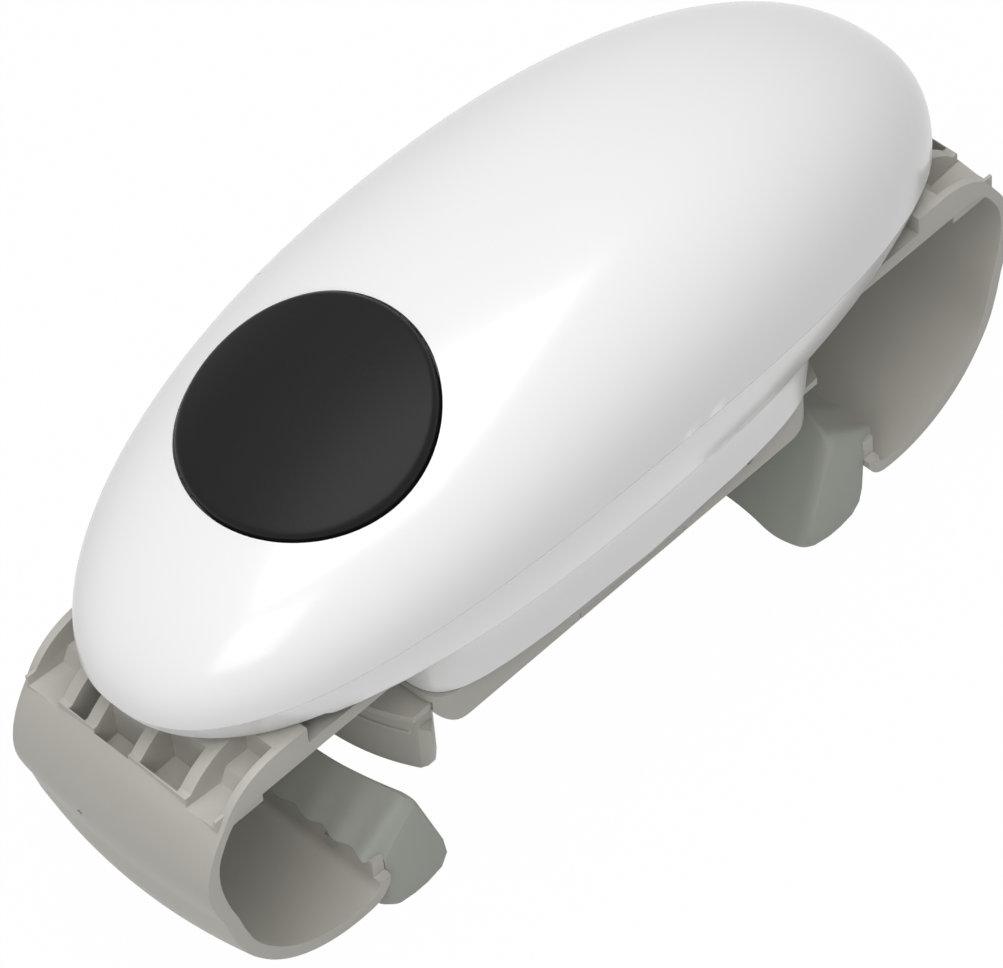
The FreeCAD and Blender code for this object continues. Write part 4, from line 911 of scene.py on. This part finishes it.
# Ribs and pockets of the ramp, in millimetres.
RIB_STARTS = (7.5, 13.8, 24.4, 35.7)
RIB_THICK = 2.4
POCKETS_WIDTH = 44.6
POCKET_INNER = (81.5, 84.0, 91.0, 88.0, 81.5)
POCKET_OUTER = (None, 95.4, 95.7, 95.3, None)
BODY_START, BODY_END = 85.3, 95.6
BODY_DEPTHS = ((22.9, 3.1), (17.2, 6.0))


def gear_rack(module, low_x, high_x, back, low, high, pitch_y):
    """A straight rack whose teeth point to +Y, with a gap at x = 0."""
    pitch = math.pi * module
    dedendum, addendum, backlash = 1.15 * module, 0.85 * module, 0.07 * MM
    root = pitch_y - dedendum
    half = pitch / 4 - backlash
    outline = [(low_x, root - back), (high_x, root - back), (high_x, root)]
    last = math.floor(high_x / pitch - 0.5)
    first = math.ceil(low_x / pitch - 0.5)
    for index in range(last, first - 1, -1):
        centre = (index + 0.5) * pitch
        foot = half + dedendum * math.tan(PRESSURE)
        crest = half - addendum * math.tan(PRESSURE)
        if centre - foot <= low_x or centre + foot >= high_x:
            continue
        outline += [(centre + foot, root), (centre + crest, root + 2 * module),
                    (centre - crest, root + 2 * module), (centre - foot, root)]
    outline.append((low_x, root))
    return prism([(x, y, low) for x, y in outline], (0, 0, high - low))


def build_arm():
    """The right arm with its pockets between ribs, lip notches, rack and gate mark."""
    sizes = settings().arm
    seam = settings().housing.seam_height
    half = sizes.width / 2
    outline = arm_outline()

    def places(y):
        """The arm's outline at a place across its width."""
        bulge = sizes.bulge * (1 - (y / half) ** 2)
        return [spot + way * (bulge * share_of) for spot, way, share_of in outline]

    rows = [half * (2 * index / 20 - 1) for index in range(21)]
    arm = swept(rows, places)
    low = seam - sizes.plate_depth
    for half_y, drop in BODY_DEPTHS:
        body = block((BODY_START * MM, -half_y * MM, low - drop * MM),
                     (BODY_END * MM, half_y * MM, low + 1 * MM))
        join(arm, body)
    starts = [0.0] + [start + RIB_THICK for start in RIB_STARTS]
    ends = list(RIB_STARTS) + [POCKETS_WIDTH]
    top = seam - sizes.ramp_top
    for start, end, inner, outer in zip(starts, ends, POCKET_INNER, POCKET_OUTER):
        low_y = (-POCKETS_WIDTH / 2 + start) * MM
        high_y = (-POCKETS_WIDTH / 2 + end) * MM
        if outer:
            corners = [(inner * MM, top + 2 * MM), (inner * MM, low - 4.4 * MM), (outer * MM, low - 4.8 * MM),
                       (outer * MM, top + 2 * MM)]
        else:
            corners = [(inner * MM, top + 2 * MM), (inner * MM, low + 1.0 * MM), (86.5 * MM, low + 1.0 * MM),
                       (88 * MM, low - 1.9 * MM), (94.9 * MM, low - 1.15 * MM), (99 * MM, low - 0.8 * MM),
                       (99 * MM, top + 2 * MM)]
        carve(arm, prism([(x, low_y, z) for x, z in corners], (0, high_y - low_y, 0)))
    lip = hook_bends()[1]
    level = lip.z + sizes.lip_rise + sizes.hook_raise
    for side in (1, -1):
        low_y, high_y = sorted((side * (half - 1.5 * MM), side * (half + 2 * MM)))
        high_x = lip.x + sizes.wall + 0.6 * MM
        carve(arm, block((lip.x - 2 * MM, low_y, level - 4.4 * MM), (high_x, high_y, level + 2 * MM)))
    for y in (12 * MM, -12 * MM):
        carve(arm, round_bar(1.52 * MM, -2 * MM, 6 * MM, lying((lip.x, y, level - 2.6 * MM), "Y"), 32))
    soften(arm, sizes.edge, 3, 32.0)
    settle(arm)
    rack = gear_rack(1 * MM, -5 * MM, 44.2 * MM, 6 * MM, low - 5.2 * MM, low - 0.4 * MM, -8 * MM)
    join(rack, block((sizes.plate_reach + 0.5 * MM, -15.1 * MM, low - 1.0 * MM),
                     (44.1 * MM, -9.2 * MM, low + 0.6 * MM)))
    join(arm, rack)
    gate = Vector((sizes.hook_start + 3.1 * MM, -7 * MM, seam - 39 * MM))
    carve(arm, round_bar(0.55 * MM, -0.6 * MM, 2 * MM, lying(gate, "Y"), 24))
    smooth(arm, 30.0)
    return arm


class JAROPENER_OT_arms(bpy.types.Operator):
    """Two gray hooked arms"""

    bl_idname = "jaropener.arms"
    bl_label = "Jar arms"

    def execute(self, context):
        arm = build_arm()
        other = turned_copy(arm)
        fit_out(arm, "right_arm_body", "right_arm", "arm_gray", moulded_gray(), "right_arm")
        fit_out(other, "left_arm_body", "left_arm", "arm_gray", moulded_gray(), "left_arm")
        return {"FINISHED"}


def pad_rows():
    """Places along a pad: close together in its rounded ends and along the waves."""
    sizes = settings().pad
    straight = sizes.half_width - sizes.corner
    ends = [straight + sizes.corner * math.sin(math.pi / 2 * index / 8) for index in range(1, 9)]
    middle = [straight * (2 * index / 84 - 1) for index in range(85)]
    return [-place for place in reversed(ends)] + middle + ends


def rounded_corners(corners, steps=3):
    """An outline whose corners, each given with its rounding, are bent."""
    points = []
    count = len(corners)
    for index, (corner, radius) in enumerate(corners):
        if not radius:
            points.append(corner)
            continue
        before, after = corners[index - 1][0] - corner, corners[(index + 1) % count][0] - corner
        start = corner + before.normalized() * min(radius, 0.45 * before.length)
        end = corner + after.normalized() * min(radius, 0.45 * after.length)
        for step in range(steps + 1):
            part = step / steps
            points.append(start * (1 - part) ** 2 + corner * (2 * part * (1 - part)) + end * part ** 2)
    return points


def build_pad():
    """The right pad: hollow face, sloping top, wavy border and rounded ends."""
    sizes, arm = settings().pad, settings().arm
    seam = settings().housing.seam_height
    lip = hook_bends()[1]
    back = lip.x
    border = lip.z + arm.lip_rise + arm.hook_raise
    top = seam - sizes.top_depth
    half = sizes.half_width

    def places(y):
        """The pad's section at a place along it."""
        hollow = sizes.grip_radius - math.sqrt(sizes.grip_radius ** 2 - y * y)
        end = max(0.0, abs(y) - (half - sizes.corner)) / sizes.corner
        tuck = sizes.corner * (1 - math.sqrt(max(0.0, 1 - end * end)))
        late = max(0.0, (abs(y) - 0.45 * half) / (0.55 * half)) ** 2
        fade = max(0.0, min(1.0, (half - 0.3 * MM - abs(y)) / (0.9 * MM)))
        wave = sizes.wave * (1 + math.sin(2 * math.pi * sizes.waves * (y / (2 * half) + 0.5)))
        over = (arm.wall + 0.15 * MM + wave) * fade
        skirt = border + 0.5 * MM - 0.8 * tuck
        under = min(border + 0.04 * MM, skirt - 0.1 * MM)
        rise = 1.0 * MM * late + 0.5 * tuck
        foot = sizes.foot_out - hollow + 0.6 * tuck + 0.9 * MM * late
        corners = ((sizes.top_out - hollow + 0.3 * tuck, top - 0.7 * tuck, (0.8 + 2.4 * late) * MM),
                   (back + over, skirt, 0.0),
                   (back + over, under, 0.0),
                   (back - 0.02 * MM, under - 0.05 * MM, 0.0),
                   (back - 0.3 * tuck, rise, (0.8 + 5 * late) * MM),
                   (foot, rise, (0.8 + 8 * late) * MM))
        corners = [(Vector((x, 0, z)), radius) for x, z, radius in corners]
        return rounded_corners(corners)

    pad = swept(pad_rows(), places)
    soften(pad, 0.6 * MM, 3, 40.0)
    settle(pad)
    for y in (12 * MM, -12 * MM):
        place = lying((back, y, border - 2.6 * MM), "Y")
        join(pad, round_bar(1.5 * MM, -1 * MM, arm.wall + 0.5 * MM, place, 32))
    smooth(pad, 50.0)
    return pad


class JAROPENER_OT_pads(bpy.types.Operator):
    """Two rubber jar pads"""

    bl_idname = "jaropener.pads"
    bl_label = "Jar pads"

    def execute(self, context):
        pad = build_pad()
        other = turned_copy(pad)
        fit_out(pad, "right_pad_rubber", "right_arm", "pad_rubber", pad_rubber(), "right_arm_pad")
        fit_out(other, "left_pad_rubber", "left_arm", "pad_rubber", pad_rubber(), "left_arm_pad")
        return {"FINISHED"}


# Carrier and lid jaws.

class JAROPENER_OT_carrier(bpy.types.Operator):
    """Gray bar with bent ends that carries the lid jaws"""

    bl_idname = "jaropener.carrier"
    bl_label = "Jaw carrier"

    def execute(self, context):
        sizes = settings().jaw
        housing = settings().housing
        high = housing.seam_height - housing.keel_depth - 0.3 * MM
        low = high - sizes.bar_height
        half, side, nose = sizes.bar_half, sizes.bar_half_width, sizes.nose
        outline = [Vector((-half, 0, high)), Vector((half, 0, high))]
        outline += arc_points(Vector((half - nose, 0, low + nose)), nose, 0, 90, 6.0)
        outline += arc_points(Vector((-half + nose, 0, low + nose)), nose, 90, 180, 6.0)
        bar = prism([point - Vector((0, side, 0)) for point in outline], (0, 2 * side, 0))
        plan = []
        corner = sizes.bar_corner
        for first, turn_x, turn_y in ((0, 1, 1), (90, -1, 1), (180, -1, -1), (270, 1, -1)):
            centre = Vector((turn_x * (half - corner), turn_y * (side - corner), low - 1 * MM))
            for index in range(9):
                turn = math.radians(first + 90 * index / 8)
                plan.append(centre + Vector((math.cos(turn), math.sin(turn), 0)) * corner)
        crop(bar, prism(plan, (0, 0, 10 * MM)))
        inner = high - 1.6 * MM
        wall = side - 2.5 * MM
        lip = wall - 1.5 * MM
        carve(bar, block((-60 * MM, -wall, low + 4.3 * MM), (60 * MM, wall, inner)))
        carve(bar, block((-60 * MM, -lip, low - 1 * MM), (60 * MM, lip, inner)))
        cover = block((-13.15 * MM, -30 * MM, low - 1 * MM), (13.15 * MM, 30 * MM, low + 1.4 * MM))
        carve(bar, cover)
        for y in (side, -side):
            slot = block((19 * MM, y - 0.4 * MM, low + 3.2 * MM), (25 * MM, y + 0.4 * MM, low + 4.4 * MM))
            carve(bar, slot)
            place = lying((30 * MM, y, low + 3.8 * MM), "X")
            carve(bar, round_bar(0.7 * MM, -0.4 * MM, 0.4 * MM, place, 24))
        carve(bar, round_bar(4.02 * MM, low, high + 1 * MM))
        soften(bar, 0.5 * MM, 3, 32.0)
        settle(bar)
        smooth(bar)
        fit_out(bar, "carrier_bar", "turntable", "arm_gray", moulded_gray(), "jaw_carrier")
        return {"FINISHED"}


JAW_CHAMFER = ((4.0, -1.0), (-3.5, -1.0), (-1.0, 1.1), (0.1, 3.6), (4.0, 3.6))
JAW_RIDGES = ((-16.5, -10.5, 3.0, 6.0, 0.6), (-18.6, 18.6, 9.2, 10.0, 0.35))


def build_jaw():
    """The right lid jaw."""
    sizes = settings().jaw
    housing = settings().housing
    seam = housing.seam_height
    roof = seam - housing.keel_depth - 0.3 * MM - 1.6 * MM
    plate_high = roof - 0.3 * MM
    plate_low = plate_high - 1.5 * MM
    blade_low = seam - sizes.blade_depth
    centre = sizes.reach - sizes.grip_radius
    half = sizes.half_width
    near, far = 30 * MM, 60 * MM
    outline = []
    low_end, high_end = -half + 2 * MM, half + 2 * MM
    for index in range(41):
        y = low_end + (high_end - low_end) * index / 40
        outline.append((centre + math.sqrt(sizes.grip_radius ** 2 - y * y), y, blade_low))
    serrations = 27
    high_end = half - 1.5 * MM
    for index in range(2 * serrations + 1):
        y = high_end + (low_end - high_end) * index / (2 * serrations)
        radius = sizes.grip_radius - sizes.thick + (0.9 * MM if index % 2 else 0.0)
        outline.append((centre + math.sqrt(radius ** 2 - y * y), y, blade_low))
    blade = prism(outline, (0, 0, plate_low - blade_low))
    for y, away in ((high_end + 3.5 * MM, 1), (low_end, -1)):
        spot = Vector((centre, y, blade_low))
        corners = [spot + Vector((0, away * out * MM, up * MM)) for out, up in JAW_CHAMFER]
        carve(blade, prism(corners, (far, 0, 0)))
    carve(blade, block((near, 4.7 * MM, plate_low - 3.0 * MM), (far, 12 * MM, plate_low - 0.02 * MM)))
    clear = sizes.bar_half_width - 4.3 * MM
    top = roof + 1.6 * MM - sizes.bar_height - 0.35 * MM
    for low_y, high_y in ((-30 * MM, -clear), (clear, 30 * MM)):
        carve(blade, block((near, low_y, top), (far, high_y, top + 9 * MM)))
    middle = Matrix.Translation((centre, 0, 0))
    for low_y, high_y, low_z, high_z, proud in JAW_RIDGES:
        ridge = block((40 * MM, low_y * MM, blade_low + low_z * MM),
                      (far, high_y * MM, blade_low + high_z * MM))
        crop(ridge, round_bar(sizes.grip_radius + proud * MM, blade_low, plate_low, middle, 256))
        inner = round_bar(sizes.grip_radius - 1.5 * MM, blade_low - 1 * MM, plate_low + 1 * MM, middle, 256)
        carve(ridge, inner)
        join(blade, ridge)
    plate_half = sizes.bar_half_width - 2.8 * MM
    plate = block((40 * MM, -plate_half, plate_low), (far, plate_half, plate_high))
    reach = sizes.grip_radius + sizes.overhang
    crop(plate, round_bar(reach, plate_low - 1 * MM, plate_high + 1 * MM, middle, 256))
    join(blade, plate)
    soften(blade, 0.35 * MM, 2, 32.0)
    settle(blade)
    rack = gear_rack(1 * MM, -5 * MM, 49.6 * MM, 4 * MM, plate_low - 2.7 * MM, plate_low - 0.1 * MM, -6 * MM)
    join(rack, block((42 * MM, -11.1 * MM, plate_low - 1 * MM),
                     (49.6 * MM, -7.2 * MM, plate_low + 0.3 * MM)))
    join(blade, rack)
    smooth(blade)
    return blade


class JAROPENER_OT_lid_jaws(bpy.types.Operator):
    """Two curved, toothed lid jaws"""

    bl_idname = "jaropener.lid_jaws"
    bl_label = "Lid jaws"

    def execute(self, context):
        jaw = build_jaw()
        other = turned_copy(jaw)
        fit_out(jaw, "right_jaw_body", "right_jaw", "arm_gray", moulded_gray(), "right_lid_jaw")
        fit_out(other, "left_jaw_body", "left_jaw", "arm_gray", moulded_gray(), "left_lid_jaw")
        return {"FINISHED"}


class JAROPENER_OT_inner_parts(bpy.types.Operator):
    """Finishes of the pieces inside"""

    bl_idname = "jaropener.inner_parts"
    bl_label = "Inner parts"

    def execute(self, context):
        finishes = {"housing_white": glossy_white, "arm_gray": moulded_gray, "pad_rubber": pad_rubber,
                    "button_black": satin_black, "inner_plastic": natural_plastic, "steel": plain_steel,
                    "bronze": bush_bronze, "board": board_green}
        for entry in frame["record"]["subparts"]:
            node = frame["nodes"][entry["node"]]
            node.data.materials.clear()
            node.data.materials.append(finishes[entry["material_slot"]]())
        return {"FINISHED"}


# Studio.

def soft_lamp(name, spot, aim, size, power):
    """A large square lamp."""
    lamp = bpy.data.lights.new(name, "AREA")
    lamp.shape = "RECTANGLE"
    lamp.size, lamp.size_y = size
    lamp.energy = power
    holder = bpy.data.objects.new(name, lamp)
    holder.location = spot
    holder.rotation_euler = (Vector(aim) - Vector(spot)).to_track_quat("-Z", "Y").to_euler()
    bpy.context.scene.collection.objects.link(holder)


def seen_rays(tree):
    """One for rays from the camera, from mirrors and through glass."""
    path = add_node(tree, "LightPath", {}).outputs
    first = add_node(tree, "Math", {0: path["Is Camera Ray"], 1: path["Is Glossy Ray"]}, "MAXIMUM")
    both = add_node(tree, "Math", {0: first.outputs[0], 1: path["Is Transmission Ray"]}, "MAXIMUM")
    return both.outputs[0]


def floor_paint():
    """Pale floor that looks white and keeps a faint shadow."""
    paint = bpy.data.materials.new("floor paint")
    paint.use_nodes = True
    tree = paint.node_tree
    shader = feed(tree, tree.nodes["Principled BSDF"],
                  {"Base Color": (*settings().finish.floor, 1), "Roughness": 0.9, "Specular IOR Level": 0.1})
    glow = add_node(tree, "Emission", {"Color": WHITE, "Strength": 1.0})
    weight = add_node(tree, "Math", {0: seen_rays(tree), 1: settings().studio.floor_glow}, "MULTIPLY")
    both = add_node(tree, "MixShader", {0: weight.outputs[0], 1: shader.outputs[0], 2: glow.outputs[0]})
    feed(tree, tree.nodes["Material Output"], {"Surface": both.outputs[0]})
    return paint


def studio_world(level):
    """Even light from all around, behind a background that looks white."""
    world = bpy.data.worlds.new("studio")
    world.use_nodes = True
    tree = world.node_tree
    plain = feed(tree, tree.nodes["Background"], {"Color": WHITE, "Strength": level})
    seen = add_node(tree, "Background", {"Color": WHITE, "Strength": 1.0})
    both = add_node(tree, "MixShader", {0: seen_rays(tree), 1: plain.outputs[0], 2: seen.outputs[0]})
    feed(tree, tree.nodes["World Output"], {"Surface": both.outputs[0]})
    return world


class JAROPENER_OT_stage(bpy.types.Operator):
    """Pale floor, soft lamps and the camera"""

    bl_idname = "jaropener.stage"
    bl_label = "Studio"

    def execute(self, context):
        studio = settings().studio
        scene = context.scene
        scene.view_settings.view_transform = "Standard"
        side, up = studio.azimuth, studio.elevation
        back = Vector((math.sin(side) * math.cos(up), -math.cos(side) * math.cos(up), math.sin(up)))
        right = Vector((math.cos(side), math.sin(side), 0))
        top = back.cross(right)
        roll = studio.roll
        row_right = right * math.cos(roll) + top * math.sin(roll)
        row_up = top * math.cos(roll) - right * math.sin(roll)
        lens = bpy.data.cameras.new("camera")
        lens.sensor_width = 36.0
        lens.sensor_fit = "HORIZONTAL"
        lens.lens = studio.focal_share * lens.sensor_width
        camera = bpy.data.objects.new("camera", lens)
        turn = Matrix((row_right, row_up, back)).transposed().to_4x4()
        middle = Vector((0, 0, settings().housing.seam_height))
        spot = middle + row_right * studio.shift_right + row_up * studio.shift_up + back * studio.distance
        camera.matrix_world = Matrix.Translation(spot) @ turn
        scene.collection.objects.link(camera)
        scene.camera = camera

        bm = bmesh.new()
        bmesh.ops.create_grid(bm, x_segments=1, y_segments=1, size=3.0)
        floor = mesh_object("studio_floor", bm)
        floor.data.materials.append(floor_paint())

        scene.world = studio_world(studio.world_level)
        soft_lamp("overhead", (-0.15, -0.15, 1.1), (0, 0, 0.08), (0.9, 0.9), studio.key_power)
        soft_lamp("side", (-0.80, -0.45, 0.72), (0, 0, 0.07), (0.5, 0.5), studio.side_power)
        return {"FINISHED"}


class JAROPENER_PT_panel(bpy.types.Panel):
    """Lists the pieces of the jar opener"""

    bl_label = "Jar Opener"
    bl_idname = "JAROPENER_PT_panel"
    bl_space_type = "VIEW_3D"
    bl_region_type = "UI"
    bl_category = "Jar Opener"

    def draw(self, context):
        for step in PIECES:
            self.layout.operator(step.bl_idname)


PIECES = (
    JAROPENER_OT_stage,
    JAROPENER_OT_inner_parts,
    JAROPENER_OT_upper_housing,
    JAROPENER_OT_battery_door,
    JAROPENER_OT_lower_housing,
    JAROPENER_OT_button,
    JAROPENER_OT_arms,
    JAROPENER_OT_pads,
    JAROPENER_OT_carrier,
    JAROPENER_OT_lid_jaws,
)
CLASSES = (HousingSizes, ButtonSizes, ArmSizes, PadSizes, JawSizes, Finishes, StudioSettings,
           JarOpenerSettings) + PIECES + (JAROPENER_PT_panel,)


def register():
    """Register the classes and the settings."""
    for item in CLASSES:
        bpy.utils.register_class(item)
    bpy.types.Scene.jar_opener = PointerProperty(type=JarOpenerSettings)


def unregister():
    """Remove the settings and the classes."""
    del bpy.types.Scene.jar_opener
    for item in reversed(CLASSES):
        bpy.utils.unregister_class(item)


def main():
    """Build every piece in order."""
    register()
    for step in PIECES:
        area, name = step.bl_idname.split(".")
        getattr(getattr(bpy.ops, area), name)()


if __name__ == "__main__":
    main()
